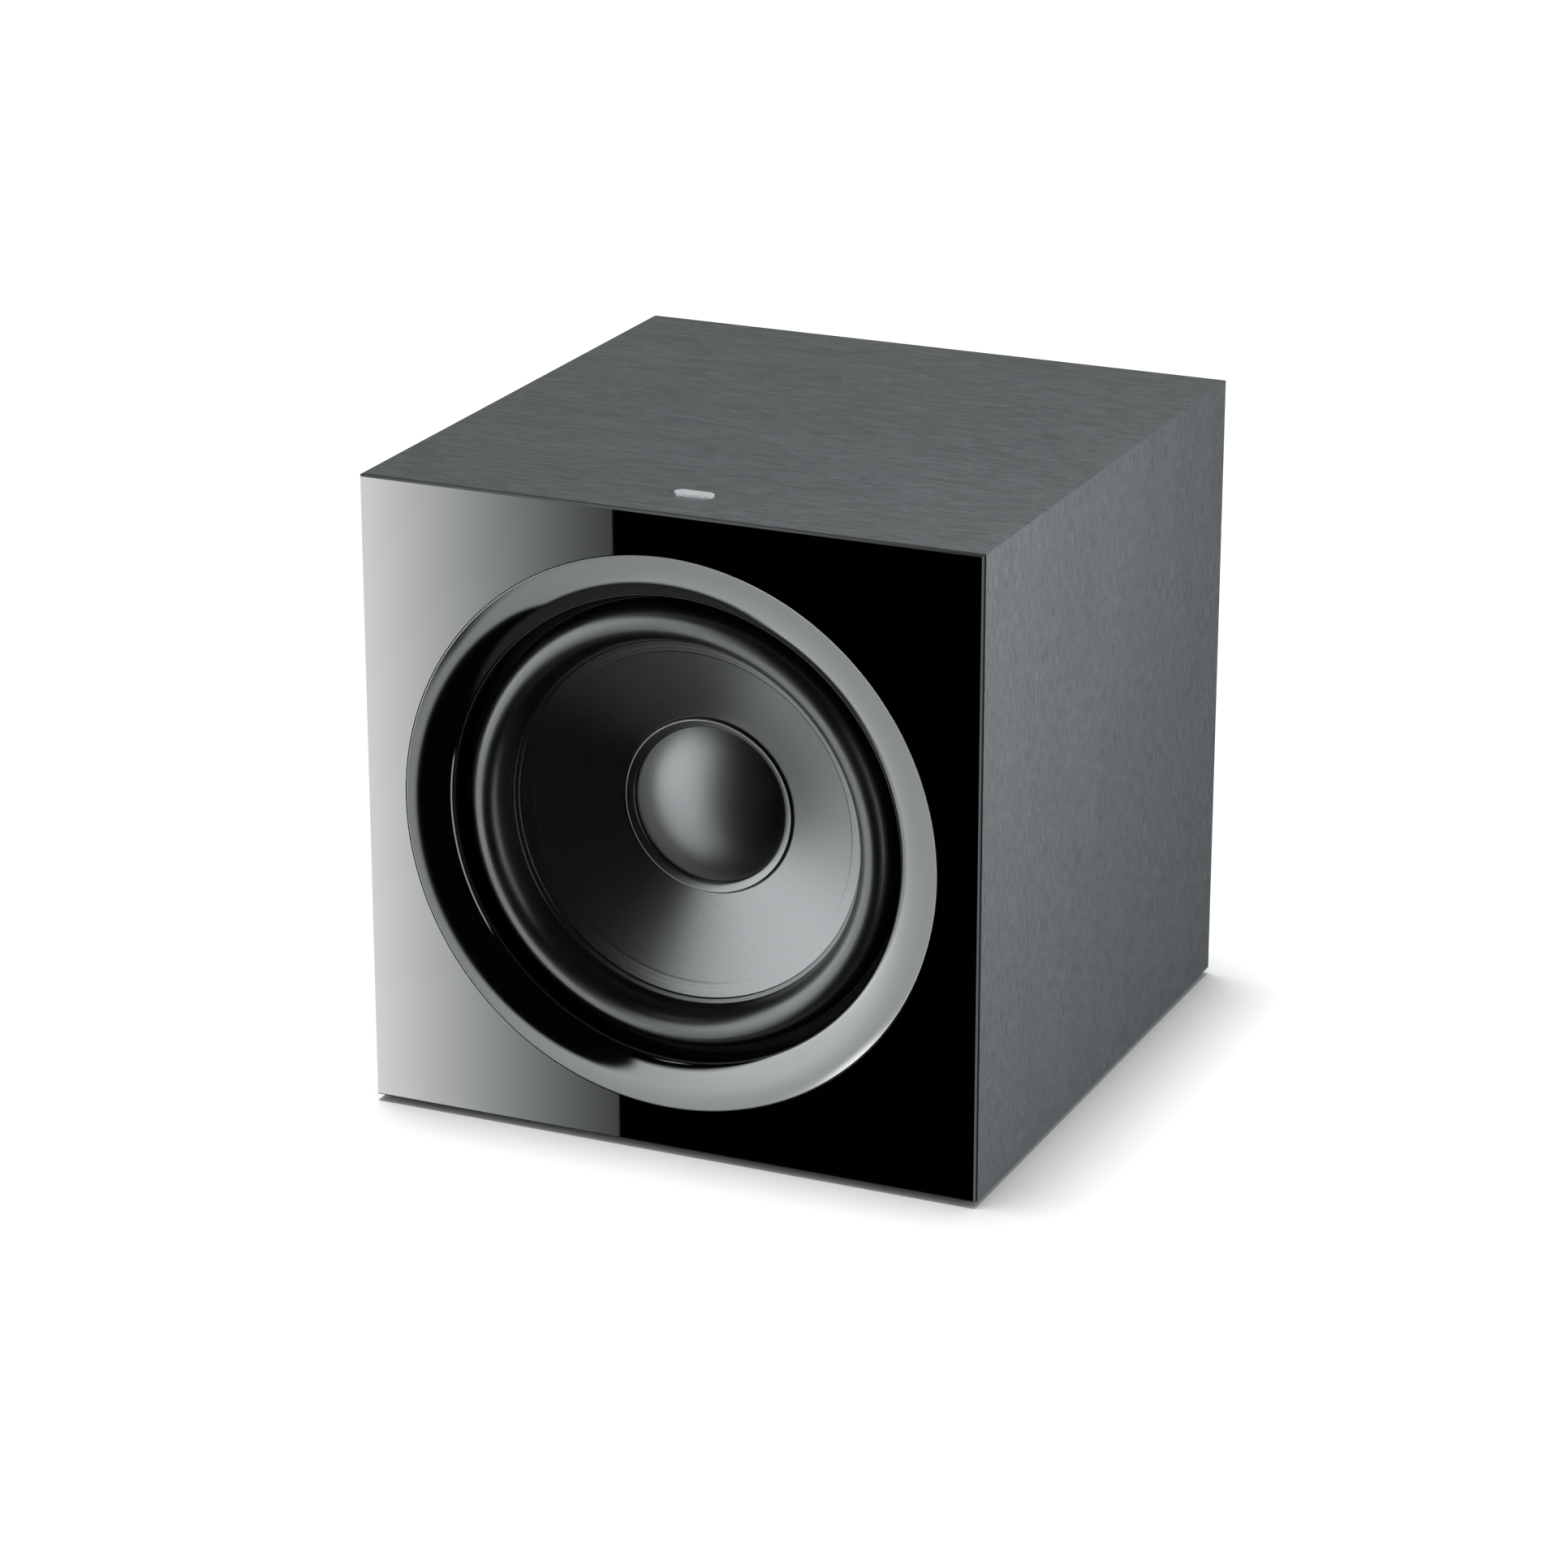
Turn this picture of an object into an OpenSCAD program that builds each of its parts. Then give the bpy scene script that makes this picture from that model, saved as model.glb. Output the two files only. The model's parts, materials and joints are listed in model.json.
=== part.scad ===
// Closed-box powered subwoofer: a veneered cabinet with a glossy front, one large driver behind a
// flared trim ring, and an amplifier module in the back.
// The origin is on the floor under the middle of the whole object, and the front faces -Y.

/* [Cabinet] */
// Width of the cabinet
cab_w = 395; // [385:1:430]
// Height of the cabinet without its feet
cab_h = 395; // [385:1:430]
// Depth from the front face to the rear panel's face
cab_d = 405; // [390:1:450]
// Thickness of the side, top, bottom and rear panels
panel_t = 20; // [18:1:22]
// Thickness of the glossy front panel
fascia_t = 4; // [3:0.5:5]
// Chamfer round the glossy front panel
fascia_chamfer = 1; // [0.5:0.1:1.5]
// Thickness of the structural baffle behind the front panel
baffle_t = 44; // [42:1:50]
// Thickness of the window brace
brace_t = 18; // [12:1:20]
// Depth at which the brace stands, from the front face
brace_depth = 220; // [205:1:235]
// Thickness of the acoustic wadding
wadding_t = 15; // [8:1:18]

/* [Feet and badge] */
// Height of the rubber feet
foot_h = 4; // [3.5:0.5:6]
// Radius of the rubber feet
foot_r = 18; // [12:1:24]
// Distance of each foot's centre from the cabinet's edges
foot_inset = 50; // [35:1:70]
// Length of the plain badge on the top
badge_l = 25; // [18:1:30]
// Width of the badge
badge_w = 9; // [7:1:12]
// Distance of the badge from the front edge
badge_back = 42; // [30:1:60]

/* [Driver] */
// Outer radius of the trim ring
ring_r = 171.6; // [171:0.1:172]
// Inner radius of the trim ring at its throat
throat_r = 144; // [143.5:0.1:144]
// Depth at which the ring's flare turns into its throat
flare_depth = 17; // [14:0.5:20]
// Depth of the surround's flat rim below the front face
rim_depth = 27; // [26:0.5:27]
// Radius at the middle of the surround's half roll
roll_r = 125.5; // [125:0.1:126]
// Radius of the half roll's section
roll_section = 13; // [12.6:0.1:13]
// Thickness of the rubber surround
surround_t = 1.2; // [1:0.1:1.2]
// Thickness of the cone
cone_t = 1.5; // [1.2:0.1:1.6]
// Radius of the dust cap
cap_r = 49; // [46:0.5:49]
// Height of the dust cap's dome
cap_rise = 15; // [10:0.5:18]
// Radius of the voice coil's former
former_r = 37.5; // [37.4:0.1:37.6]
// Radius of the magnet
magnet_r = 86; // [80:1:90]
// Thickness of the magnet
magnet_t = 30; // [26:1:34]
// Number of spokes in the basket
spokes = 6; // [5:1:6]

/* [Amplifier] */
// Width of the amplifier plate
plate_w = 240; // [240:1:250]
// Height of the amplifier plate
plate_h = 300; // [300:1:310]
// Thickness of the amplifier plate
plate_t = 3; // [2.5:0.5:3]
// Height of everything that stands out from the plate
rear_proud = 14; // [13:0.5:18]
// Number of heatsink fins
fins = 19; // [11:2:21]
// Radius of the rotary knobs
knob_r = 10; // [9:0.5:12]
// Angle to which the power rocker leans each way
rocker_lean = 9; // [6:1:10]
// Travel of the slide switches
slider_travel = 5; // [4:0.5:5]

/* [Hidden] */
$fn = 96;
eps = 0.01;

// Where the main faces are
front_y = -(cab_d + rear_proud) / 2;
rear_y = front_y + cab_d;
axis_z = foot_h + cab_h / 2;
half_w = cab_w / 2;
half_h = cab_h / 2;
inner_w = half_w - panel_t;
inner_h = half_h - panel_t;

// Radii and depths in the driver, all depths from the front face
ring_seam = 0.6;
ring_edge = 0.8;
lip_w = 2.2;
flange_r = 155.8;
recess_r = flange_r + 0.7;
flange_t = 5;
gasket_t = 1.5;
flange_depth = rim_depth + surround_t;
step_depth = flange_depth + flange_t + gasket_t;
neck_r = 140.8;
cutout_r = neck_r + 1.2;
screw_circle_r = 151.2;
screw_r = 2.5;
screw_head_r = 4.25;
screw_head_h = 4;
screw_count = 8;
peg_circle_r = 163.5;
peg_r = 2.4;
peg_l = 8;
peg_neck_r = 1.8;
peg_socket = 1.8;
hole_play = 0.1;
land_w = 4.6;
rim_r = 146.6;
glue = 0.2;
cone_slope = 0.5;
foot_in_r = roll_r - roll_section + surround_t / 2;
cone_in_depth = 68.4;
cone_back = cone_t * sqrt(1 + pow(cone_slope, 2));
cap_groove = 0.3;
cap_bond = 0.05;
cap_ring_w = 5.4;
former_wall = 0.4;
former_depth = 67;
former_l = 69;
coil_depth = 104;
coil_l = 30;
coil_t = 1.5;
gap_play = 0.6;
shelf_depth = 94;
shelf_r = 80;
motor_depth = 116;
plate_disc_t = 10;
pole_r = former_r - former_wall - 0.5;
vent_r = 12;
lead_angle = 120;
terminal_r = 98;

// Amplifier places: x and height from the middle of the plate
cut_w = plate_w / 2 - 13;
cut_h = plate_h / 2 - 13;
rebate = plate_t + gasket_t;
plate_y = rear_y - plate_t;
box_w = 208;
box_h = 268;
box_d = 80;
box_wall = 1.5;
amp_screw_r = 2;
amp_screw_x = plate_w / 2 - 6;
amp_screw_z = plate_h / 2 - 6;
level_at = [-74, 14];
crossover_at = [-24, 14];
rca_at = [[34, 14], [58, 14], [82, 14]];
phase_at = [38, -42];
auto_at = [78, -42];
led_at = [0, -42];
rocker_at = [40, -106];
inlet_at = [-50, -110];
grommet_at = [-50, -60];
transformer_at = [50, 78];
transformer_h = 46;
board_x = [-98, -4];
board_z = [-56, 130];
board_off = 18;
shaft_r = 3;
run_play = 0.05;
rca_r = 4.15;
rca_l = 9;

// Box between two corners given as ranges
module block(x, y, z)
    translate([x[0], y[0], z[0]]) cube([x[1] - x[0], y[1] - y[0], z[1] - z[0]]);

// Places a shape drawn along +Z at a depth on the driver's axis, pointing to the back
module at_driver(depth = 0)
    translate([0, front_y + depth, axis_z]) rotate([-90, 0, 0]) children();

// Places a shape drawn along +Z on the amplifier plate's outer face, pointing out of the back
module at_rear(place, out = 0)
    translate([place[0], rear_y + out, axis_z + place[1]]) rotate([-90, 0, 0]) children();

// Copies a shape round the driver's axis
module around(count, first = 0)
    for (i = [0 : count - 1]) rotate([0, 0, first + i * 360 / count]) children();

module tube(r_out, r_in, h)
    difference() {
        cylinder(r = r_out, h = h);
        translate([0, 0, -eps]) cylinder(r = r_in, h = h + 2 * eps);
    }

// Points on a quarter of an ellipse from angle 0 to 90
function quarter(centre, a, b, steps) =
    [for (i = [0 : steps]) let (t = 90 * i / steps) centre + [-a * sin(t), -b * cos(t)]];

// A smooth path through hand-chosen points
function catmull(p, i, t) =
    let (n = len(p) - 1, a = p[max(i - 1, 0)], b = p[i], c = p[i + 1], d = p[min(i + 2, n)])
    0.5 * (2 * b + (c - a) * t + (2 * a - 5 * b + 4 * c - d) * t * t
        + (3 * b - a - 3 * c + d) * t * t * t);
function smooth(p, steps) =
    concat([for (i = [0 : len(p) - 2], s = [0 : steps - 1]) catmull(p, i, s / steps)],
        [p[len(p) - 1]]);
function unit(v) = v / norm(v);
function tangent(p, i) = unit(p[min(i + 1, len(p) - 1)] - p[max(i - 1, 0)]);

// A round wire along a path that stays near one plane, whose normal is given
module wire(path, r, sides, normal) {
    n = len(path);
    rings = [for (i = [0 : n - 1]) let (t = tangent(path, i), u = unit(cross(t, normal)), v = cross(u, t))
        for (k = [0 : sides - 1]) path[i] + r * (u * cos(360 * k / sides) + v * sin(360 * k / sides))];
    walls = [for (i = [0 : n - 2], k = [0 : sides - 1]) let (a = i * sides, b = (k + 1) % sides)
        [a + k, a + b, a + sides + b, a + sides + k]];
    start = [[for (k = [sides - 1 : -1 : 0]) k]];
    end = [[for (k = [0 : sides - 1]) (n - 1) * sides + k]];
    polyhedron(rings, concat(start, walls, end));
}

// ---- Cabinet ----

module chamfered_outline(half)
    polygon([
        [-half, front_y + fascia_chamfer], [-half + fascia_chamfer, front_y],
        [half - fascia_chamfer, front_y], [half, front_y + fascia_chamfer],
        [half, front_y + fascia_t], [-half, front_y + fascia_t]
    ]);

module front_fascia()
    color([0.03, 0.03, 0.03]) difference() {
        intersection() {
            translate([0, 0, foot_h]) linear_extrude(cab_h) chamfered_outline(half_w);
            translate([-half_w, 0, axis_z]) rotate([0, 90, 0]) linear_extrude(cab_w)
                chamfered_outline(half_h);
        }
        at_driver(-1) cylinder(r = ring_r + ring_seam, h = fascia_t + 2);
    }

module front_baffle()
    color([0.45, 0.36, 0.27]) difference() {
        block([-inner_w, inner_w], [front_y + fascia_t, front_y + fascia_t + baffle_t],
            [axis_z - inner_h, axis_z + inner_h]);
        at_driver() cylinder(r = recess_r, h = step_depth);
        at_driver() cylinder(r = cutout_r, h = fascia_t + baffle_t + 1);
        at_driver() around(screw_count) translate([screw_circle_r, 0, 0])
            cylinder(r = screw_r + hole_play, h = fascia_t + baffle_t + 1);
        at_driver() around(screw_count, 180 / screw_count) translate([peg_circle_r, 0, 0])
            cylinder(r = peg_r + hole_play, h = fascia_t + peg_l + 1);
    }

// Cross-section of a panel that is mitred at both ends
module mitred(length)
    polygon([[-length, 0], [length, 0], [length - panel_t, -panel_t], [-length + panel_t, -panel_t]]);

// One of the four panels, laid on the side of the box that its angle gives
module wrap_panel(angle, length, distance)
    translate([0, rear_y, axis_z]) rotate([90, 0, 0]) rotate([0, 0, angle])
        translate([0, distance, 0]) linear_extrude(cab_d - fascia_t) mitred(length);

module top_panel()
    color([0.2, 0.21, 0.21]) difference() {
        wrap_panel(0, half_w, half_h);
        for (side = [-1, 1]) translate([side * badge_l / 4, front_y + badge_back, foot_h + cab_h - 6])
            cylinder(r = 1 + hole_play, h = 7);
    }

module bottom_panel()
    color([0.2, 0.21, 0.21]) difference() {
        wrap_panel(180, half_w, half_h);
        each_foot() translate([0, 0, foot_h - 1]) cylinder(r = 1.85, h = 14);
    }

module left_panel() color([0.2, 0.21, 0.21]) wrap_panel(90, half_h, half_w);

module right_panel() color([0.2, 0.21, 0.21]) wrap_panel(-90, half_h, half_w);

module rear_panel()
    color([0.14, 0.14, 0.14]) difference() {
        block([-inner_w, inner_w], [rear_y - panel_t, rear_y], [axis_z - inner_h, axis_z + inner_h]);
        block([-cut_w, cut_w], [rear_y - panel_t - 1, rear_y + 1], [axis_z - cut_h, axis_z + cut_h]);
        block([-plate_w / 2 - 0.5, plate_w / 2 + 0.5], [rear_y - rebate, rear_y + 1],
            [axis_z - plate_h / 2 - 0.5, axis_z + plate_h / 2 + 0.5]);
        each_amp_screw() translate([0, 0, -rebate - 12]) cylinder(r = amp_screw_r + hole_play, h = 20);
    }

module window_brace() {
    rim = 32;
    rib = 14;
    corner = 18;
    color([0.5, 0.4, 0.3]) difference() {
        block([-inner_w, inner_w], [front_y + brace_depth, front_y + brace_depth + brace_t],
            [axis_z - inner_h, axis_z + inner_h]);
        for (sx = [-1, 1], sz = [-1, 1])
            at_driver(brace_depth - 1) linear_extrude(brace_t + 2)
                translate([sx * (inner_w - rim + rib) / 2, sz * (inner_h - rim + rib) / 2])
                    rounded_square(inner_w - rim - rib, inner_h - rim - rib, corner);
    }
}

// Rectangle with round corners, centred
module rounded_square(w, h, r) {
    square([w - 2 * r, h], center = true);
    square([w, h - 2 * r], center = true);
    for (sx = [-1, 1], sz = [-1, 1]) translate([sx * (w / 2 - r), sz * (h / 2 - r)]) circle(r);
}

// Slabs of wadding on the four walls, in front of the brace and behind it
module acoustic_wadding() {
    gap = 2;
    front_room = [front_y + fascia_t + baffle_t + gap, front_y + brace_depth - gap];
    rear_room = [front_y + brace_depth + brace_t + gap, rear_y - panel_t - gap];
    color([0.85, 0.85, 0.82]) for (room = [front_room, rear_room], side = [-1, 1]) {
        wall_x = side * (inner_w - wadding_t / 2 - 0.5);
        wall_z = side * (inner_h - wadding_t / 2 - 0.5);
        block([wall_x - wadding_t / 2, wall_x + wadding_t / 2], room,
            [axis_z - inner_h + 0.5, axis_z + inner_h - 0.5]);
        block([-inner_w + wadding_t + 1, inner_w - wadding_t - 1], room,
            [axis_z + wall_z - wadding_t / 2, axis_z + wall_z + wadding_t / 2]);
    }
}

// Places children at the four feet, on the floor
module each_foot()
    for (sx = [-1, 1], sy = [0, 1])
        translate([sx * (half_w - foot_inset), front_y + foot_inset + sy * (cab_d - 2 * foot_inset), 0])
            children();

module rubber_feet()
    color([0.08, 0.08, 0.08]) each_foot() difference() {
        cylinder(r = foot_r, h = foot_h);
        translate([0, 0, -1]) cylinder(r = 5, h = 3.2);
        translate([0, 0, -1]) cylinder(r = 2, h = foot_h + 2);
    }

module foot_screws()
    color([0.6, 0.6, 0.6]) each_foot() difference() {
        union() {
            translate([0, 0, 0.6]) cylinder(r = 4.2, h = 1.6);
            translate([0, 0, 1]) cylinder(r = 1.75, h = foot_h + 10);
        }
        translate([0, 0, 0]) cylinder(r = 1.4, h = 1.5, $fn = 6);
    }

// Plain polished bar with round ends, held by two pegs
module badge()
    color([0.8, 0.8, 0.82]) translate([0, front_y + badge_back, foot_h + cab_h]) {
        linear_extrude(1.4) {
            square([badge_l - badge_w, badge_w], center = true);
            for (side = [-1, 1]) translate([side * (badge_l - badge_w) / 2, 0]) circle(badge_w / 2);
        }
        for (side = [-1, 1]) translate([side * badge_l / 4, 0, -5]) cylinder(r = 1, h = 5 + eps);
    }

// ---- Driver ----

// Depth of the cone's front surface at a radius
function cone_depth(r) = cone_in_depth - (r - former_r) * cone_slope;

module trim_ring()
    color([0.05, 0.05, 0.05]) at_driver() difference() {
        rotate_extrude() polygon(concat(
            quarter([ring_r - ring_edge, flare_depth], ring_r - ring_edge - throat_r, flare_depth, 18),
            [
                [throat_r, rim_depth], [throat_r + lip_w, rim_depth],
                [throat_r + lip_w, flare_depth - 2], [throat_r + 6, flare_depth - 6.5],
                [flange_r - 0.3, fascia_t + 1.5], [flange_r - 0.3, fascia_t],
                [ring_r, fascia_t], [ring_r, ring_edge], [ring_r - ring_edge / 3, ring_edge / 3]
            ]
        ));
        each_peg() cylinder(r = peg_neck_r, h = fascia_t + 1);
    }

// Places children at the studs of the trim ring, at the front face's depth
module each_peg()
    around(screw_count, 180 / screw_count) translate([peg_circle_r, 0, fascia_t - peg_socket])
        children();

// Push-in studs that hold the trim ring in the baffle
module ring_pegs()
    color([0.85, 0.83, 0.75]) at_driver() each_peg() {
        cylinder(r = peg_neck_r, h = peg_socket + eps);
        translate([0, 0, peg_socket]) cylinder(r = peg_r, h = peg_l);
    }

module driver_gasket()
    color([0.1, 0.1, 0.1]) at_driver(flange_depth + flange_t) difference() {
        tube(flange_r, cutout_r + 0.4, gasket_t);
        around(screw_count) translate([screw_circle_r, 0, -1]) cylinder(r = screw_r + 0.3, h = gasket_t + 2);
    }

module basket() {
    bottom_r = 90;
    color([0.35, 0.36, 0.37]) at_driver() difference() {
        rotate_extrude() polygon([
            [137, flange_depth], [flange_r, flange_depth], [flange_r, flange_depth + flange_t],
            [neck_r, flange_depth + flange_t], [neck_r, 44], [92, 98], [bottom_r, 104],
            [bottom_r, motor_depth], [46, motor_depth], [46, motor_depth - 4],
            [bottom_r - 4, motor_depth - 4], [bottom_r - 4, shelf_depth + 3],
            [shelf_r, shelf_depth + 3], [shelf_r, shelf_depth], [shelf_r + 8, shelf_depth], [136, 42]
        ]);
        around(screw_count) translate([screw_circle_r, 0, 0])
            cylinder(r = screw_r + 0.3, h = flange_depth + flange_t + 1);
        around(spokes, -19) rotate_extrude(angle = 38) polygon([[60, 50], [150, 50], [150, 89], [60, 89]]);
        around(spokes, -12) rotate_extrude(angle = 24)
            polygon([[82, 100], [bottom_r + 5, 100], [bottom_r + 5, 109], [82, 109]]);
    }
}

module driver_screws()
    color([0.15, 0.15, 0.15]) at_driver(flange_depth) around(screw_count)
        translate([screw_circle_r, 0, 0]) difference() {
            union() {
                translate([0, 0, -screw_head_h]) cylinder(r = screw_head_r, h = screw_head_h);
                translate([0, 0, -eps]) cylinder(r = screw_r, h = 18);
            }
            translate([0, 0, -screw_head_h - 1]) cylinder(r = 2.3, h = 3.5, $fn = 6);
        }

// Points on half a circle that bulges towards the front, from its outer end to its inner end
function half_roll(r, steps) =
    [for (i = [0 : steps]) let (t = 180 * i / steps) [roll_r + r * cos(t), rim_depth - r * sin(t)]];

// Half roll of rubber with a flat rim outside and a sloped land glued on the cone inside
module surround() {
    outer = roll_section + surround_t / 2;
    inner = roll_section - surround_t / 2;
    land_in_r = foot_in_r - land_w;
    foot_out_r = foot_in_r - surround_t;
    back_roll = half_roll(inner, 20);
    color([0.09, 0.09, 0.09]) at_driver() rotate_extrude() polygon(concat(
        [[rim_r, flange_depth], [rim_r, rim_depth]],
        half_roll(outer, 20),
        [
            [foot_out_r, cone_depth(foot_out_r) - glue - surround_t],
            [land_in_r, cone_depth(land_in_r) - glue - surround_t],
            [land_in_r, cone_depth(land_in_r) - glue],
            [foot_in_r, cone_depth(foot_in_r) - glue]
        ],
        [for (i = [len(back_roll) - 1 : -1 : 0]) back_roll[i]],
        [[roll_r + inner, flange_depth]]
    ));
}

module cone()
    color([0.16, 0.17, 0.17]) at_driver() rotate_extrude() polygon([
        [foot_in_r, cone_depth(foot_in_r)], [former_r, cone_depth(former_r)],
        [former_r, cone_depth(former_r) + cone_back], [foot_in_r, cone_depth(foot_in_r) + cone_back]
    ]);

// Dome whose edge meets the cone
module dust_cap() {
    dome_r = (cap_r * cap_r + cap_rise * cap_rise) / (2 * cap_rise);
    shell = 1.2;
    edge_depth = cone_depth(cap_r) - 0.8;
    color([0.25, 0.26, 0.27]) at_driver() rotate_extrude() difference() {
        intersection() {
            translate([0, edge_depth - cap_rise + dome_r]) difference() {
                circle(dome_r);
                circle(dome_r - shell);
            }
            square([cap_r, cone_depth(cap_r) + 1]);
        }
        polygon([
            [cap_r + 1, cone_depth(cap_r + 1) - cap_bond], [cap_r - 9, cone_depth(cap_r - 9) - cap_bond],
            [cap_r - 9, cone_depth(cap_r - 9) + 9], [cap_r + 1, cone_depth(cap_r + 1) + 9]
        ]);
    }
}

module dust_cap_ring() {
    near = cap_r + cap_groove;
    far = near + cap_ring_w;
    color([0.2, 0.2, 0.21]) at_driver() rotate_extrude() polygon([
        [near, cone_depth(near)], [far, cone_depth(far)], [far, cone_depth(far) - 1.1],
        [far - 0.8, cone_depth(far) - 1.8], [near + 1.2, cone_depth(near) - 2.6],
        [near, cone_depth(near) - 1.8]
    ]);
}

module coil_former()
    color([0.75, 0.6, 0.35]) at_driver(former_depth) tube(former_r, former_r - former_wall, former_l);

module voice_coil()
    color([0.72, 0.4, 0.2]) at_driver(coil_depth) tube(former_r + coil_t, former_r, coil_l);

// Corrugated cloth disc between the former and the basket's shelf
module spider() {
    near = former_r + glue;
    far = shelf_r + 7;
    waves = 9;
    wave_h = 4.5;
    cloth = 0.9;
    crest = shelf_depth - cloth;
    step = (far - 4 - near) / (2 * waves);
    front = [for (i = [0 : 2 * waves]) [near + i * step, crest - (i % 2) * wave_h]];
    last = len(front) - 1;
    color([0.75, 0.66, 0.35]) at_driver() rotate_extrude() polygon(concat(
        front, [[far, crest], [far, crest + cloth]],
        [for (i = [last : -1 : 0]) front[i] + [0, cloth]]
    ));
}

module top_plate()
    color([0.5, 0.5, 0.52]) at_driver(motor_depth)
        tube(magnet_r - 10, former_r + coil_t + gap_play, plate_disc_t);

module magnet()
    color([0.2, 0.2, 0.21]) at_driver(motor_depth + plate_disc_t) tube(magnet_r, 52, magnet_t);

// Rear disc and pole piece in one, with a vent through the middle
module back_plate()
    color([0.5, 0.5, 0.52]) at_driver() difference() {
        union() {
            translate([0, 0, motor_depth + plate_disc_t + magnet_t])
                cylinder(r = magnet_r - 5, h = plate_disc_t);
            translate([0, 0, motor_depth - 1]) cylinder(r = pole_r, h = plate_disc_t + magnet_t + 2);
        }
        translate([0, 0, motor_depth - 2]) cylinder(r = vent_r, h = 2 * plate_disc_t + magnet_t + 3);
    }

// Insulating block with two solder tags on the side of the basket
module driver_terminals()
    color([0.3, 0.22, 0.15]) at_driver() rotate([0, 0, lead_angle]) difference() {
        union() {
            block([80, terminal_r], [-14, 14], [110.5, 115.5]);
            for (side = [-1, 1]) block([95, 97], [side * 7 - 2, side * 7 + 2], [99, 111]);
        }
        translate([0, 0, 90]) cylinder(r = 90.05, h = 40);
    }

module tinsel_leads() {
    route = [
        [71, 0, 55.4], [73, 0, 66], [82, 0, 74], [93, 0, 77], [101, 0, 83], [101, 0, 90],
        [96.4, 0, 95], [96, 0, 98.6]
    ];
    color([0.8, 0.65, 0.4]) at_driver() rotate([0, 0, lead_angle]) for (side = [-1, 1])
        translate([0, side * 7, 0]) wire(smooth(route, 3), 0.9, 8, [0, 1, 0]);
}

// Pair of leads from the amplifier to the driver
module speaker_wires() {
    route = [
        [0, 128, -89], [0, 142, -92], [0, 170, -96], [0, 205, -94], [0, 240, -86],
        [0, 270, -76], [0, 298, -62], [0, 330, -60]
    ];
    color([0.7, 0.12, 0.1]) for (side = [-1, 1])
        translate([grommet_at[0] + 2.4 * side, front_y, axis_z]) wire(smooth(route, 4), 1.9, 8, [1, 0, 0]);
}

// ---- Amplifier ----

module each_amp_screw()
    for (sx = [-1, 1]) {
        for (k = [-1, -1 / 3, 1 / 3, 1]) at_rear([sx * amp_screw_x, k * amp_screw_z]) children();
        at_rear([0, sx * amp_screw_z]) children();
    }

module amp_gasket()
    color([0.1, 0.1, 0.1]) difference() {
        block([-plate_w / 2, plate_w / 2], [rear_y - rebate, plate_y],
            [axis_z - plate_h / 2, axis_z + plate_h / 2]);
        block([-cut_w - 0.5, cut_w + 0.5], [rear_y - rebate - 1, rear_y],
            [axis_z - cut_h - 0.5, axis_z + cut_h + 0.5]);
        each_amp_screw() translate([0, 0, -rebate - 1]) cylinder(r = amp_screw_r + 0.2, h = 8);
    }

module amp_plate()
    color([0.12, 0.12, 0.13]) difference() {
        block([-plate_w / 2, plate_w / 2], [plate_y, rear_y],
            [axis_z - plate_h / 2, axis_z + plate_h / 2]);
        each_amp_screw() translate([0, 0, -10]) cylinder(r = amp_screw_r + 0.2, h = 12);
        for (place = [level_at, crossover_at]) at_rear(place, -10) cylinder(r = 3.7, h = 12);
        for (place = rca_at) at_rear(place, -10) cylinder(r = 5, h = 12);
        at_rear(led_at, -10) cylinder(r = 2.7, h = 12);
        for (place = [phase_at, auto_at]) at_rear(place, -10) linear_extrude(12)
            square([slider_travel + 5.4, 5.2], center = true);
        at_rear(rocker_at, -10) linear_extrude(12) square([18.4, 27.4], center = true);
        at_rear(inlet_at, -10) linear_extrude(12) inlet_outline(0.2);
    }

module amp_screws()
    color([0.2, 0.2, 0.2]) each_amp_screw() difference() {
        union() {
            cylinder(r = 3.8, h = 2);
            translate([0, 0, -14]) cylinder(r = amp_screw_r, h = 14 + eps);
        }
        translate([0, 0, 0.6]) cylinder(r = 1.3, h = 2, $fn = 6);
    }

// Extruded heatsink on the outside of the plate
module heatsink() {
    length = 88;
    base_t = 3;
    fin_t = 2;
    pitch = 190 / (fins - 1);
    color([0.1, 0.1, 0.1]) translate([0, rear_y, axis_z + 50]) linear_extrude(length) {
        translate([-96, 0]) square([192, base_t]);
        for (i = [0 : fins - 1]) translate([-95 + i * pitch - fin_t / 2, 0]) square([fin_t, rear_proud]);
    }
}

// Sealed steel box that closes off the electronics inside the cabinet
module amp_back_box()
    color([0.6, 0.61, 0.62]) difference() {
        block([-box_w / 2, box_w / 2], [plate_y - box_d, plate_y], [axis_z - box_h / 2, axis_z + box_h / 2]);
        block([-box_w / 2 + box_wall, box_w / 2 - box_wall], [plate_y - box_d + box_wall, plate_y + 1],
            [axis_z - box_h / 2 + box_wall, axis_z + box_h / 2 - box_wall]);
        at_rear(grommet_at, -plate_t - box_d - 1) cylinder(r = 7, h = 4);
    }

module cable_grommet()
    color([0.08, 0.08, 0.08]) at_rear(grommet_at, -plate_t - box_d) difference() {
        union() {
            translate([0, 0, -2.5]) cylinder(r = 10, h = 2.5);
            cylinder(r = 6.9, h = box_wall);
            translate([0, 0, box_wall]) cylinder(r = 9, h = 2);
        }
        for (side = [-1, 1]) translate([2.4 * side, 0, -4]) cylinder(r = 2.2, h = 9);
    }

module circuit_board()
    color([0.1, 0.35, 0.18]) difference() {
        block(board_x, [plate_y - board_off - 1.6, plate_y - board_off],
            [axis_z + board_z[0], axis_z + board_z[1]]);
        each_standoff() cylinder(r = 1.7, h = 40, center = true);
    }

module each_standoff()
    for (x = [board_x[0] + 6, board_x[1] - 6], z = [board_z[0] + 6, board_z[1] - 6])
        at_rear([x, z], -plate_t) children();

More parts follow.
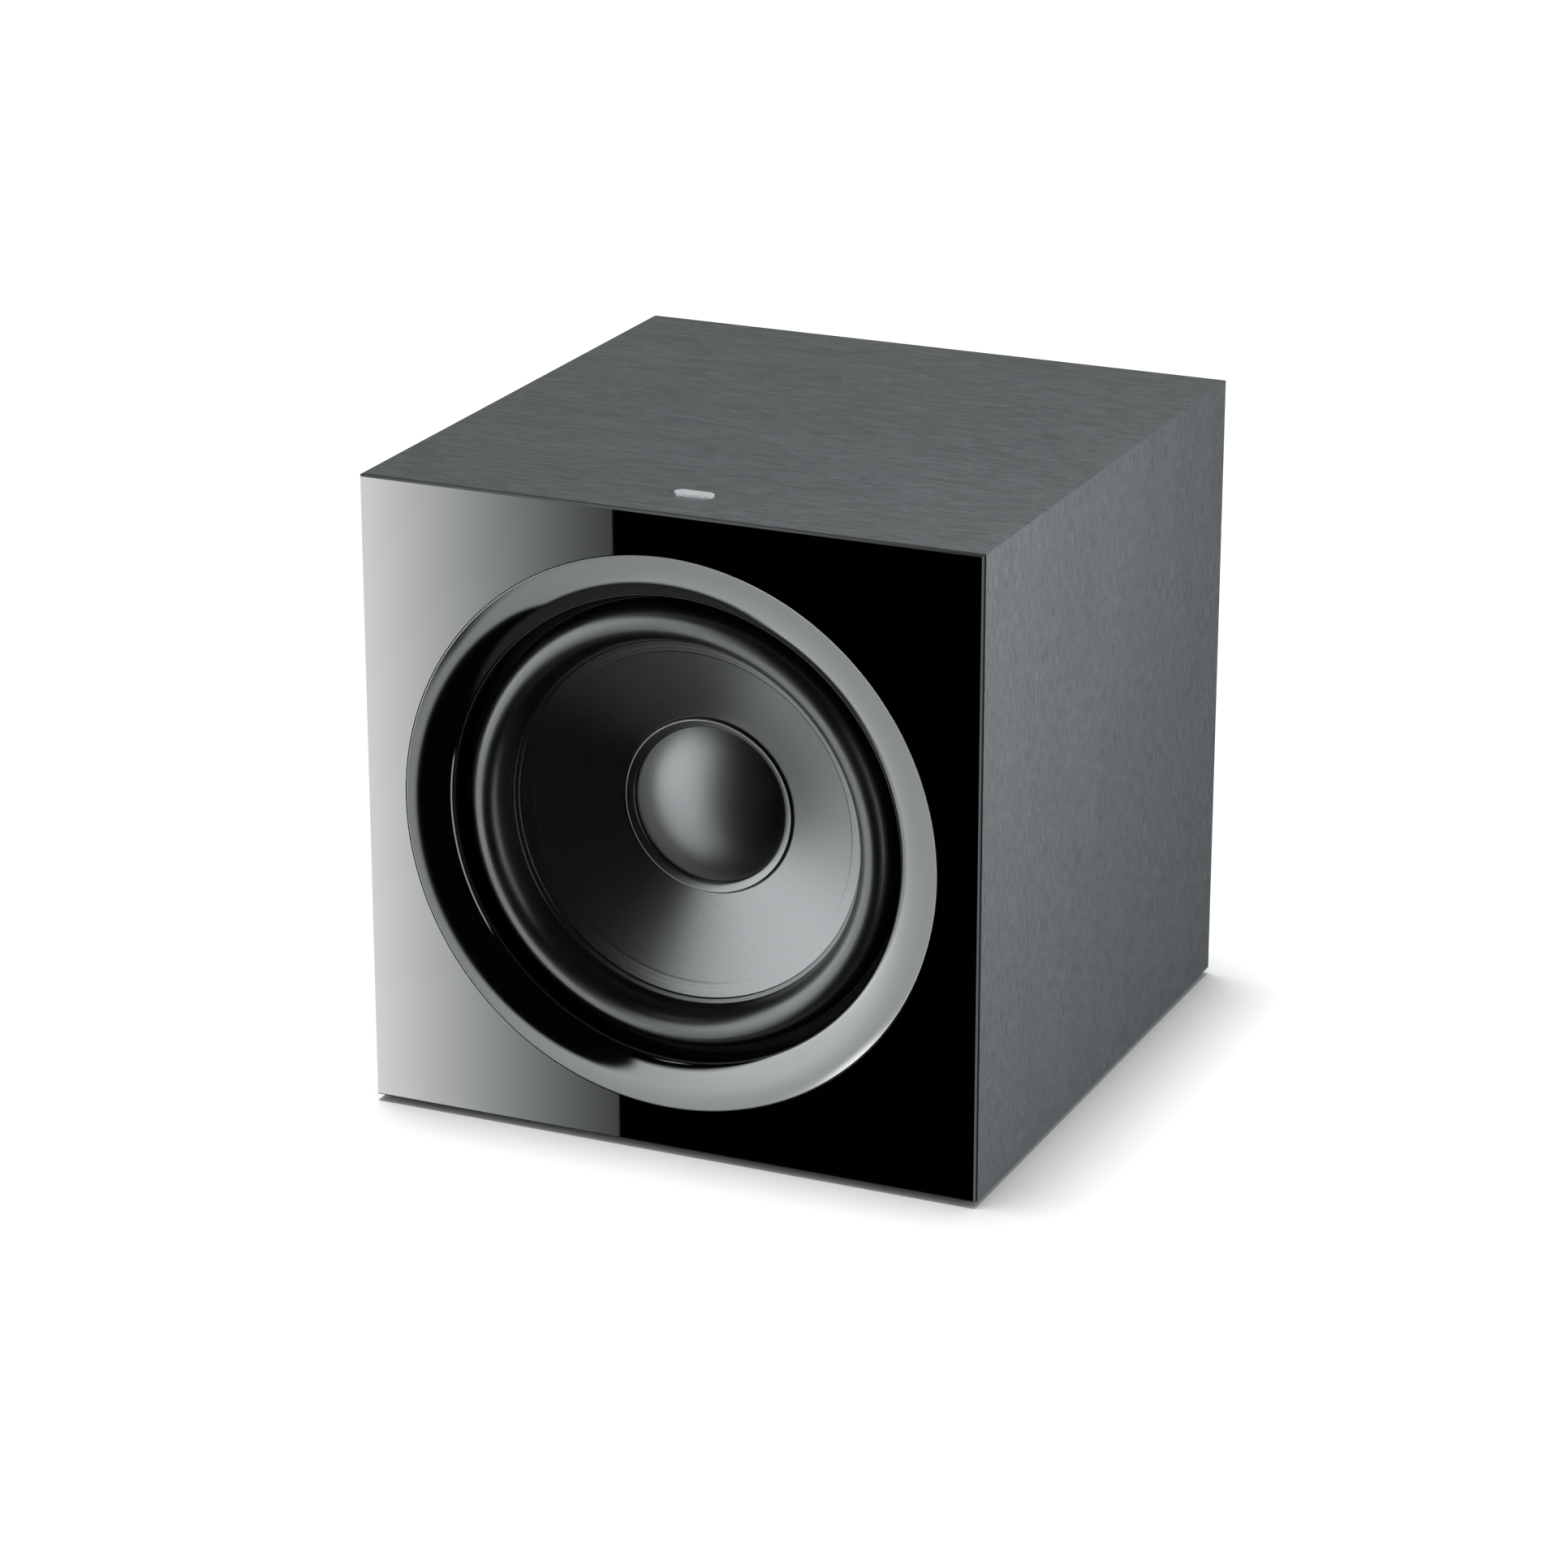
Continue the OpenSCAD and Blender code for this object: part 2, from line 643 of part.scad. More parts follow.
module board_standoffs()
    color([0.75, 0.68, 0.4]) each_standoff() {
        translate([0, 0, -board_off]) cylinder(r = 3.2, h = board_off);
        translate([0, 0, -board_off - 6]) cylinder(r = 1.5, h = 6 + eps);
    }

// Toroidal mains transformer with rounded shoulders
module transformer()
    color([0.75, 0.6, 0.15]) at_rear(transformer_at, -plate_t - transformer_h) rotate_extrude()
        translate([31, transformer_h / 2]) rounded_square(34, transformer_h, 5);

// Stud welded to the plate, with a dished washer and a nut that hold the transformer
module transformer_bolt()
    color([0.7, 0.7, 0.72]) at_rear(transformer_at, -plate_t) {
        translate([0, 0, -transformer_h - 6]) cylinder(r = 3, h = transformer_h + 6);
        translate([0, 0, -transformer_h - 2.8]) cylinder(r = 22, h = 2.8);
        translate([0, 0, -transformer_h - 5.4]) cylinder(r = 5.8, h = 3, $fn = 6);
    }

module capacitors()
    color([0.15, 0.16, 0.2])
        for (x = [-76, -46], z = [40, 72]) at_rear([x, z], -plate_t - board_off - 1.6)
            rotate([180, 0, 0]) cylinder(r = 12.5, h = 40);

module rca_jacks()
    color([0.8, 0.7, 0.4]) for (place = rca_at) at_rear(place) difference() {
        union() {
            translate([0, 0, -9]) cylinder(r = 4.8, h = 9 + eps);
            cylinder(r = 6.5, h = 1.5);
            cylinder(r = rca_r, h = 1.5 + rca_l);
        }
        translate([0, 0, -10]) cylinder(r = 3.4, h = 30);
    }

module rca_insulators()
    color([0.9, 0.9, 0.88]) for (place = rca_at) at_rear(place) difference() {
        translate([0, 0, -9]) cylinder(r = 3.38, h = 18);
        translate([0, 0, 0]) cylinder(r = 1.6, h = 20);
    }

module potentiometers()
    color([0.35, 0.4, 0.38]) for (place = [level_at, crossover_at]) at_rear(place, -plate_t) difference() {
        union() {
            translate([-8, -8, -9]) cube([16, 16, 9]);
            cylinder(r = 3.5, h = plate_t + 4.5);
        }
        translate([0, 0, -8]) cylinder(r = shaft_r + run_play, h = 40);
    }

module pot_nuts()
    color([0.75, 0.75, 0.76]) for (place = [level_at, crossover_at]) at_rear(place) difference() {
        cylinder(r = 5.4, h = 2.2, $fn = 6);
        translate([0, 0, -1]) cylinder(r = 3.55, h = 5);
    }

// Fluted knob with a pointer rib, hollow below so that it clears the nut
module knob(place)
    at_rear(place) difference() {
        union() {
            translate([0, 0, 0.8]) cylinder(r = knob_r, h = rear_proud - 1.6);
            translate([-0.6, -knob_r + 1, 1]) cube([1.2, knob_r - 1, rear_proud - 1]);
        }
        cylinder(r = 7.2, h = 6);
        cylinder(r = shaft_r + 0.02, h = rear_proud - 3);
        around(18, 10) translate([knob_r + 0.5, 0, 3]) cylinder(r = 1, h = rear_proud);
    }

module knob_shaft(place)
    at_rear(place, -plate_t - 7.5) cylinder(r = shaft_r, h = plate_t + 7.5 + rear_proud - 4);

module level_knob() color([0.1, 0.1, 0.1]) knob(level_at);

module level_shaft() color([0.7, 0.7, 0.7]) knob_shaft(level_at);

module crossover_knob() color([0.1, 0.1, 0.1]) knob(crossover_at);

module crossover_shaft() color([0.7, 0.7, 0.7]) knob_shaft(crossover_at);

// Switch housing with a well, and a pin across it on which the rocker turns
pivot_out = -2.5;
module rocker_bezel()
    color([0.07, 0.07, 0.07]) at_rear(rocker_at) {
        difference() {
            union() {
                linear_extrude(2) square([21, 30], center = true);
                translate([0, 0, -22]) linear_extrude(22 + eps) square([18, 27], center = true);
            }
            translate([0, 0, -10]) linear_extrude(20) square([14, 22], center = true);
        }
        translate([-8, 0, pivot_out]) rotate([0, 90, 0]) cylinder(r = 1.5, h = 16);
    }

module power_rocker()
    color([0.09, 0.09, 0.09]) at_rear(rocker_at, pivot_out) rotate([rocker_lean, 0, 0]) difference() {
        rotate([90, 0, 90]) translate([0, 0, -6.7]) linear_extrude(13.4) polygon([
            [-9.6, 0.5], [-5, -3], [5, -3], [9.6, 0.5], [9.6, 5.2], [0, 4.4], [-9.6, 5.2]
        ]);
        rotate([0, 90, 0]) cylinder(r = 1.5 + run_play, h = 20, center = true);
    }

// Outline of the inlet's body, larger by a margin all round
module inlet_outline(margin)
    translate([-14.5 - margin, -17 - margin]) square([29 + 2 * margin, 34 + 2 * margin]);

drawer_at = [0, -9.8];
module mains_inlet()
    color([0.07, 0.07, 0.07]) at_rear(inlet_at) difference() {
        union() {
            translate([-17, -19.5, 0]) cube([34, 39, 2]);
            translate([0, 0, -24]) linear_extrude(24 + eps) inlet_outline(0);
        }
        translate([0, 5.5, -18]) linear_extrude(30) socket_outline();
        translate([drawer_at[0], drawer_at[1], -20]) linear_extrude(30) square([23, 7.6], center = true);
    }

// Socket opening with two cut corners on the earth side
module socket_outline()
    polygon([[-12.2, 8.2], [12.2, 8.2], [12.2, -3.5], [7.5, -8.2], [-7.5, -8.2], [-12.2, -3.5]]);

module inlet_pins()
    color([0.8, 0.8, 0.78]) at_rear(inlet_at) for (pin = [[-7, 7.5], [7, 7.5], [0, 3.5]])
        translate([pin[0] - 1, pin[1] - 2, -18]) cube([2, 4, 14.5]);

module fuse_drawer()
    color([0.12, 0.12, 0.12]) at_rear(inlet_at) translate([drawer_at[0], drawer_at[1], 0]) difference() {
        union() {
            translate([-11.2, -3.5, -19]) cube([22.4, 7, 21]);
            translate([-4, -1, 1.9]) cube([8, 2, 1.3]);
        }
        translate([-10.4, -2.8, -17]) cube([20.8, 8, 6.4]);
    }

module fuse()
    color([0.85, 0.85, 0.85]) at_rear(inlet_at)
        translate([drawer_at[0], drawer_at[1], -13.8]) rotate([0, 90, 0]) {
            cylinder(r = 2.35, h = 20, center = true);
            for (side = [-1, 1]) translate([0, 0, side * 7.5]) cylinder(r = 2.6, h = 5, center = true);
        }

module slide_switch_bodies()
    color([0.3, 0.3, 0.32]) for (place = [phase_at, auto_at]) at_rear(place, -plate_t) difference() {
        translate([-11, -5, -9]) cube([22, 10, 9]);
        translate([-7.6, -3.3, -4]) cube([15.2, 6.6, 5]);
    }

// Slider that rests at one end of its travel, with a foot held under the plate
module slider(place)
    at_rear(place, -plate_t) translate([-slider_travel / 2, 0, 0]) {
        translate([-4.4, -3, -3.6]) cube([8.8, 6, 3.3]);
        translate([-2.2, -2.2, -0.4]) cube([4.4, 4.4, plate_t + 3.4]);
    }

module phase_slider() color([0.1, 0.1, 0.1]) slider(phase_at);

module auto_slider() color([0.1, 0.1, 0.1]) slider(auto_at);

module status_led()
    color([0.3, 0.8, 0.4]) at_rear(led_at, -plate_t - 4) {
        cylinder(r = 2.5, h = plate_t + 5);
        translate([0, 0, plate_t + 5]) sphere(r = 2.5);
    }

front_fascia();
front_baffle();
top_panel();
bottom_panel();
left_panel();
right_panel();
rear_panel();
window_brace();
acoustic_wadding();
rubber_feet();
foot_screws();
badge();
trim_ring();
ring_pegs();
driver_gasket();
basket();
driver_screws();
surround();
cone();
dust_cap();
dust_cap_ring();
coil_former();
voice_coil();
spider();
top_plate();
magnet();
back_plate();
driver_terminals();
tinsel_leads();
speaker_wires();
amp_gasket();
amp_plate();
amp_screws();
heatsink();
amp_back_box();
cable_grommet();
circuit_board();
board_standoffs();
transformer();
transformer_bolt();
capacitors();
rca_jacks();
rca_insulators();
potentiometers();
pot_nuts();
level_knob();
level_shaft();
crossover_knob();
crossover_shaft();
rocker_bezel();
power_rocker();
mains_inlet();
inlet_pins();
fuse_drawer();
fuse();
slide_switch_bodies();
phase_slider();
auto_slider();
status_led();
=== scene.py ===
"""Looks of a closed-box powered subwoofer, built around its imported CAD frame.

The smooth and soft pieces of the driver are lathed or woven here in mesh code, the CAD solids keep their
shapes, and every piece gets a procedural material. Everything is in metres, in the frame's own axes:
+Z up, -Y out of the front.
"""

import json
import math

import bmesh
import bpy
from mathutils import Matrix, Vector, noise
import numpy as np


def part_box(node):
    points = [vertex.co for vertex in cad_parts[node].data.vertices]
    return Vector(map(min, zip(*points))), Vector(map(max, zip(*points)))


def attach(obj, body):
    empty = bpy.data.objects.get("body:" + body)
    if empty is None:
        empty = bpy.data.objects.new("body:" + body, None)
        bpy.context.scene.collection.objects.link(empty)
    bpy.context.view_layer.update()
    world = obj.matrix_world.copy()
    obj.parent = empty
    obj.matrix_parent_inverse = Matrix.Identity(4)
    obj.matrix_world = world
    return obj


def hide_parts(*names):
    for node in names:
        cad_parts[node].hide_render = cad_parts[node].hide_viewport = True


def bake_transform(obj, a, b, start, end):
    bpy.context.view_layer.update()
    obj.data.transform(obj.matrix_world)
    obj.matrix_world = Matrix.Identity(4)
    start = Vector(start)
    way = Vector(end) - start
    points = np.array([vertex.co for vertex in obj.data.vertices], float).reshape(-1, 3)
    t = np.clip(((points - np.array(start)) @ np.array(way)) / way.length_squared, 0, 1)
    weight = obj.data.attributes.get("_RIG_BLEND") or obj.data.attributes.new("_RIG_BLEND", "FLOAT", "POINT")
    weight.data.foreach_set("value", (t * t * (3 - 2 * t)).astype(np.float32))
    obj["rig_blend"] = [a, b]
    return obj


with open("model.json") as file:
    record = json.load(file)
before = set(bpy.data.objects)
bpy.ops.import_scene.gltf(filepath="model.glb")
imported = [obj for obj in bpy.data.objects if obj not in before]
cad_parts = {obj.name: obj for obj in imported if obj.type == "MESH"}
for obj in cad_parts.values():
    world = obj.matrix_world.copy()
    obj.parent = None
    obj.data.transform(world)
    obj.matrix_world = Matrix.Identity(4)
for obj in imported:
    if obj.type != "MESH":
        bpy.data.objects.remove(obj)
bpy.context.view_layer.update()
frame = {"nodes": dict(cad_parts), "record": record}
nodes = frame["nodes"]

MM = 0.001

# Places that the pieces are built from
front_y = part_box("front_fascia")[0][1]
rear_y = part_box("rear_panel")[1][1]
cabinet_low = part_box("bottom_panel")[0]
cabinet_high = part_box("top_panel")[1]
axis_z = (cabinet_low[2] + cabinet_high[2]) / 2
driver_axis = Vector((0, front_y, axis_z))


# ---- Meshes ----


def new_object(name, data):
    """An object in the scene that holds a mesh, a light or a camera."""
    obj = bpy.data.objects.new(name, data)
    bpy.context.collection.objects.link(obj)
    return obj


def mesh_object(name, points, faces, sharp_degrees=40):
    """An object from points and faces, smooth except at edges sharper than the given angle."""
    mesh = bpy.data.meshes.new(name)
    mesh.from_pydata([tuple(p) for p in points], [], faces)
    mesh.validate()
    bm = bmesh.new()
    bm.from_mesh(mesh)
    bmesh.ops.recalc_face_normals(bm, faces=bm.faces)
    bm.to_mesh(mesh)
    bm.free()
    mesh.shade_smooth()
    mesh.set_sharp_from_angle(angle=math.radians(sharp_degrees))
    return new_object(name, mesh)


def lathe(name, profile, origin, steps=192, sharp_degrees=40):
    """Turns a closed profile of (radius, distance along +Y), in millimetres, round an axis through origin."""
    points = []
    faces = []
    count = len(profile)
    for i in range(steps):
        angle = 2 * math.pi * i / steps
        for radius, along in profile:
            offset = Vector((radius * math.cos(angle), along, radius * math.sin(angle)))
            points.append(origin + offset * MM)
    for i in range(steps):
        a = i * count
        b = (i + 1) % steps * count
        for k in range(count):
            n = (k + 1) % count
            faces.append((a + k, a + n, b + n, b + k))
    return mesh_object(name, points, faces, sharp_degrees)


def arc(centre, radius, start, end, steps, height=None):
    """Points on an arc in the profile's plane, with angles in degrees from +radius towards +depth.

    With a height it is an ellipse's arc, which rises by that much along the depth.
    """
    found = []
    for i in range(steps + 1):
        t = math.radians(start + (end - start) * i / steps)
        found.append((centre[0] + radius * math.cos(t), centre[1] + (height or radius) * math.sin(t)))
    return found


def rounded(corners, radius, steps=4):
    """A closed profile whose corners are rounded, by less than half of each side."""
    most = 0.45
    found = []
    count = len(corners)
    for i, corner in enumerate(corners):
        here = Vector(corner)
        to_last = Vector(corners[i - 1]) - here
        to_next = Vector(corners[(i + 1) % count]) - here
        reach = min(radius, to_last.length * most, to_next.length * most)
        first = here + to_last.normalized() * reach
        last = here + to_next.normalized() * reach
        for k in range(steps + 1):
            t = k / steps
            point = first * (1 - t) ** 2 + here * 2 * t * (1 - t) + last * t**2
            found.append(tuple(point))
    return found


def tube(name, path, radius, sides=12):
    """A round tube along a path of points in metres, closed at both ends."""
    points = []
    faces = []
    side = None
    for i, here in enumerate(path):
        along = (path[min(i + 1, len(path) - 1)] - path[max(i - 1, 0)]).normalized()
        if side is None:
            side = along.orthogonal()
        side = (side - along * side.dot(along)).normalized()
        other = along.cross(side)
        for k in range(sides):
            t = 2 * math.pi * k / sides
            points.append(here + (side * math.cos(t) + other * math.sin(t)) * radius)
    for i in range(len(path) - 1):
        for k in range(sides):
            a = i * sides
            n = (k + 1) % sides
            faces.append((a + k, a + n, a + sides + n, a + sides + k))
    faces.append(tuple(range(sides)))
    faces.append(tuple((len(path) - 1) * sides + k for k in range(sides)))
    return mesh_object(name, points, faces, 60)


def smooth_path(points, steps):
    """A Catmull-Rom curve through points, which it passes through."""
    found = []
    for i in range(len(points) - 1):
        a = points[max(i - 1, 0)]
        b = points[i]
        c = points[i + 1]
        d = points[min(i + 2, len(points) - 1)]
        for k in range(steps):
            t = k / steps
            square = (2 * a - 5 * b + 4 * c - d) * t**2
            cube = (3 * b - a - 3 * c + d) * t**3
            found.append((2 * b + (c - a) * t + square + cube) / 2)
    found.append(points[-1])
    return found


def join(name, objects):
    """One object out of several."""
    mesh = bpy.data.meshes.new(name)
    bm = bmesh.new()
    for obj in objects:
        bm.from_mesh(obj.data)
        bpy.data.objects.remove(obj)
    bm.to_mesh(mesh)
    bm.free()
    return new_object(name, mesh)


def prism(name, ends, sharp_degrees=30):
    """An eight-cornered solid: four corners of one end in turn, then the four that face them."""
    faces = [(0, 1, 2, 3), (4, 5, 6, 7), (0, 1, 5, 4), (1, 2, 6, 5), (2, 3, 7, 6), (3, 0, 4, 7)]
    return mesh_object(name, ends, faces, sharp_degrees)


def bevel(obj, width_mm, segments=2, angle=30):
    """Rounds an object's edges a little, as real edges are."""
    modifier = obj.modifiers.new("edges", "BEVEL")
    modifier.width = width_mm * MM
    modifier.segments = segments
    modifier.limit_method = "ANGLE"
    modifier.angle_limit = math.radians(angle)
    modifier.harden_normals = True
    return obj


# ---- Materials ----

# Sockets of a Mix node that mixes colours, and the range that most of a noise's values lie in
MIX_SHARE = 0
MIX_FIRST = 6
MIX_SECOND = 7
MIX_RESULT = 2
NOISE_LOW = 0.3
NOISE_HIGH = 0.7


class Graph:
    """Short calls that each add one node to a tree and return its output."""

    def __init__(self, tree):
        self.tree = tree

    def node(self, kind, inputs=None, **settings):
        made = self.tree.nodes.new(kind)
        for key, value in settings.items():
            setattr(made, key, value)
        for key, value in (inputs or {}).items():
            self.put(made.inputs[key], value)
        return made

    def put(self, socket, value):
        if isinstance(value, bpy.types.NodeSocket):
            self.tree.links.new(value, socket)
        else:
            socket.default_value = value

    def math(self, operation, a, b=0.0):
        return self.node("ShaderNodeMath", {0: a, 1: b}, operation=operation).outputs[0]

    def times(self, a, b):
        return self.math("MULTIPLY", a, b)

    def plus(self, a, b):
        return self.math("ADD", a, b)

    def ramp(self, value, low, high, out_low=0.0, out_high=1.0, smooth=True):
        """Maps low..high to out_low..out_high, and stays there outside."""
        kind = "SMOOTHSTEP" if smooth else "LINEAR"
        made = self.node("ShaderNodeMapRange", {"Value": value}, interpolation_type=kind)
        made.inputs["From Min"].default_value = low
        made.inputs["From Max"].default_value = high
        made.inputs["To Min"].default_value = out_low
        made.inputs["To Max"].default_value = out_high
        return made.outputs["Result"]

    def mix(self, share, a, b):
        """Colour between a and b."""
        made = self.node("ShaderNodeMix", data_type="RGBA")
        self.put(made.inputs[MIX_SHARE], share)
        self.put(made.inputs[MIX_FIRST], a)
        self.put(made.inputs[MIX_SECOND], b)
        return made.outputs[MIX_RESULT]

    def weighted(self, a, share_a, b, share_b):
        """The sum of two values, each with its share."""
        return self.plus(self.times(a, share_a), self.times(b, share_b))

    def vary(self, value, low, high):
        """Turns a noise into values from low to high."""
        return self.ramp(value, NOISE_LOW, NOISE_HIGH, low, high)

    def position(self):
        """Place on the object, in metres."""
        return self.node("ShaderNodeTexCoord").outputs["Object"]

    def scaled(self, vector, scale):
        return self.node("ShaderNodeVectorMath", {0: vector, 1: scale}, operation="MULTIPLY").outputs[0]

    def axes(self, vector):
        made = self.node("ShaderNodeSeparateXYZ", {0: vector})
        return made.outputs[0], made.outputs[1], made.outputs[2]

    def vector(self, x, y, z):
        return self.node("ShaderNodeCombineXYZ", {0: x, 1: y, 2: z}).outputs[0]

    def noise(self, vector, scale, detail=2.0, roughness=0.5, distortion=0.0):
        made = self.node("ShaderNodeTexNoise", {"Vector": vector, "Scale": scale, "Detail": detail})
        made.inputs["Roughness"].default_value = roughness
        made.inputs["Distortion"].default_value = distortion
        return made.outputs[0]

    def cells(self, vector, scale, feature="F1"):
        made = self.node("ShaderNodeTexVoronoi", {"Vector": vector, "Scale": scale}, feature=feature)
        return made.outputs["Distance"]

    def bump(self, height, distance_mm, strength=1.0):
        made = self.node("ShaderNodeBump", {"Height": height, "Strength": strength})
        made.inputs["Distance"].default_value = distance_mm * MM
        return made.outputs["Normal"]


def shade(colour, factor):
    """A colour made lighter or darker."""
    return tuple(min(c * factor, 1.0) for c in colour) + (1.0,)


def start_material(name, roughness, **sockets):
    """A material with one Principled shader. Values that are the same all over go straight on its sockets."""
    made = bpy.data.materials.new(name)
    made.use_nodes = True
    shader = made.node_tree.nodes["Principled BSDF"]
    shader.inputs["Roughness"].default_value = roughness
    for key, value in sockets.items():
        shader.inputs[key.replace("_", " ")].default_value = value
    return made, Graph(made.node_tree), shader


def lacquer(name, colour, roughness, peel, **sockets):
    """Polished lacquer: deep colour, a trace of orange peel and faint polishing haze."""
    made, g, shader = start_material(name, roughness, **sockets)
    place = g.position()
    haze = g.noise(place, 9.0, 3.0)
    g.put(shader.inputs["Base Color"], g.mix(haze, shade(colour, 0.8), shade(colour, 1.25)))
    g.put(shader.inputs["Roughness"], g.vary(haze, roughness * 0.85, roughness * 1.2))
    g.put(shader.inputs["Normal"], g.bump(g.noise(place, 160.0, 1.0), peel))
    return made


def stretch(axis, factor):
    """A scale that draws a pattern out along one axis."""
    return tuple(factor if k == axis else 1.0 for k in range(3))


def veneer(name, colour, grain_axis, fineness, contrast, roughness=0.58):
    """Stained ash veneer under satin varnish: long streaks, and short open pores along the grain."""
    made, g, shader = start_material(name, roughness, Specular_IOR_Level=0.22)
    place = g.position()
    streaks = g.noise(g.scaled(place, stretch(grain_axis, 0.11)), fineness, 4.0, 0.75)
    figure = g.noise(g.scaled(place, stretch(grain_axis, 0.2)), 26.0, 3.0, 0.5, 1.2)
    pores = g.ramp(g.noise(g.scaled(place, stretch(grain_axis, 0.09)), 2100.0, 1.0, 0.4), 0.56, 0.66)
    grain = g.weighted(streaks, 0.9, figure, 0.1)
    stained = g.mix(g.vary(grain, 0.0, 1.0), shade(colour, 1 - contrast), shade(colour, 1 + contrast))
    g.put(shader.inputs["Base Color"], g.mix(g.times(pores, 0.4), stained, shade(colour, 0.4)))
    g.put(shader.inputs["Roughness"], g.vary(streaks, roughness * 0.88, roughness * 1.12))
    relief = g.math("SUBTRACT", g.times(streaks, 0.4), pores)
    g.put(shader.inputs["Normal"], g.bump(relief, 0.012))
    return made


def moulded(name, colour, roughness, grain=1400.0, depth=0.02, **sockets):
    """Moulded plastic or rubber: fine erosion grain, with slightly uneven colour and sheen."""
    made, g, shader = start_material(name, roughness, **sockets)
    place = g.position()
    broad = g.noise(place, 30.0, 3.0)
    fine = g.noise(place, grain, 2.0, 0.6)
    g.put(shader.inputs["Base Color"], g.mix(broad, shade(colour, 0.8), shade(colour, 1.2)))
    mottle = g.weighted(broad, 0.5, fine, 0.5)
    g.put(shader.inputs["Roughness"], g.vary(mottle, roughness * 0.85, roughness * 1.15))
    g.put(shader.inputs["Normal"], g.bump(fine, depth))
    return made


def metal(name, colour, roughness, streak_axis=None, depth=0.006, metallic=1.0):
    """Bare metal with a fine finish, brushed along an axis if one is given, and faint stains."""
    made, g, shader = start_material(name, roughness, Metallic=metallic)
    place = g.position()
    lines = g.noise(g.scaled(place, stretch(streak_axis, 0.04)), 2200.0, 2.0, 0.6)
    stain = g.noise(place, 45.0, 4.0, 0.6)
    g.put(shader.inputs["Base Color"], g.mix(stain, shade(colour, 0.82), shade(colour, 1.1)))
    wear = g.weighted(lines, 0.6, stain, 0.4)
    g.put(shader.inputs["Roughness"], g.vary(wear, roughness * 0.75, roughness * 1.25))
    g.put(shader.inputs["Normal"], g.bump(lines, depth))
    return made


def powder_coat(name, colour, roughness=0.5):
    """Textured powder coat, with fine pimples."""
    made, g, shader = start_material(name, roughness)
    place = g.position()
    pimples = g.noise(place, 1100.0, 2.0, 0.4)
    broad = g.noise(place, 22.0, 3.0)
    g.put(shader.inputs["Base Color"], g.mix(broad, shade(colour, 0.8), shade(colour, 1.25)))
    g.put(shader.inputs["Roughness"], g.ramp(pimples, 0.35, 0.65, roughness * 0.85, roughness * 1.15))
    g.put(shader.inputs["Normal"], g.bump(pimples, 0.06))
    return made


def fibreboard(name, colour):
    """Sawn fibreboard: pale flecks in a brown felt of fibres."""
    made, g, shader = start_material(name, 0.85)
    place = g.position()
    felt = g.noise(place, 900.0, 4.0, 0.7)
    flecks = g.ramp(g.cells(g.scaled(place, (1.0, 0.4, 1.0)), 420.0), 0.1, 0.35)
    board = g.mix(felt, shade(colour, 0.7), shade(colour, 1.25))
    g.put(shader.inputs["Base Color"], g.mix(g.times(flecks, 0.4), shade(colour, 1.4), board))
    g.put(shader.inputs["Roughness"], g.vary(felt, 0.75, 0.95))
    g.put(shader.inputs["Normal"], g.bump(felt, 0.08))
    return made


def fibrous(name, colour, roughness, fleck=700.0, depth=0.02, **sockets):
    """Pressed fibre under a thin coat, as on a loudspeaker cone."""
    made, g, shader = start_material(name, roughness, **sockets)
    place = g.position()
    fibres = g.noise(place, fleck, 4.0, 0.65, 1.5)
    cloud = g.noise(place, 35.0, 2.0)
    tone = g.weighted(fibres, 0.7, cloud, 0.3)
    share = g.ramp(tone, 0.35, 0.65)
    g.put(shader.inputs["Base Color"], g.mix(share, shade(colour, 0.78), shade(colour, 1.25)))
    g.put(shader.inputs["Roughness"], g.vary(fibres, roughness * 0.88, roughness * 1.12))
    g.put(shader.inputs["Normal"], g.bump(fibres, depth))
    return made


def woven(name, colour, thread_mm, roughness=0.85, depth=0.12, **sockets):
    """Cloth: two crossed sets of threads, one up where the other is down, with painted shade where the
    threads go down.
    """
    made, g, shader = start_material(name, roughness, **sockets)
    x, y, z = g.axes(g.position())
    turns = 2 * math.pi / (2 * thread_mm * MM)
    warp = g.math("SINE", g.times(x, turns))
    weft = g.math("SINE", g.times(z, turns))
    crossing = g.times(warp, weft)
    weave = g.ramp(crossing, -1.0, 1.0)
    fluff = g.noise(g.position(), 900.0, 3.0, 0.6)
    # painted shade: the cloth is darkest where the weave is lowest, as shade between the threads
    cloth = g.mix(weave, shade(colour, 0.55), shade(colour, 1.15))
    g.put(shader.inputs["Base Color"], g.mix(g.times(fluff, 0.35), cloth, shade(colour, 0.7)))
    g.put(shader.inputs["Roughness"], g.vary(fluff, roughness * 0.9, min(roughness * 1.1, 1.0)))
    height = g.plus(weave, g.times(fluff, 0.3))
    g.put(shader.inputs["Normal"], g.bump(height, depth))
    return made


def fleece(name, colour):
    """Loose polyester wadding."""
    made, g, shader = start_material(name, 0.95, Sheen_Weight=0.6)
    place = g.position()
    strands = g.noise(place, 420.0, 5.0, 0.75, 4.0)
    clumps = g.noise(place, 60.0, 3.0, 0.6)
    tone = g.weighted(strands, 0.6, clumps, 0.4)
    g.put(shader.inputs["Base Color"], g.mix(g.vary(tone, 0.0, 1.0), shade(colour, 0.7), shade(colour, 1.15)))
    g.put(shader.inputs["Roughness"], g.vary(strands, 0.85, 1.0))
    g.put(shader.inputs["Normal"], g.bump(tone, 0.9))
    return made


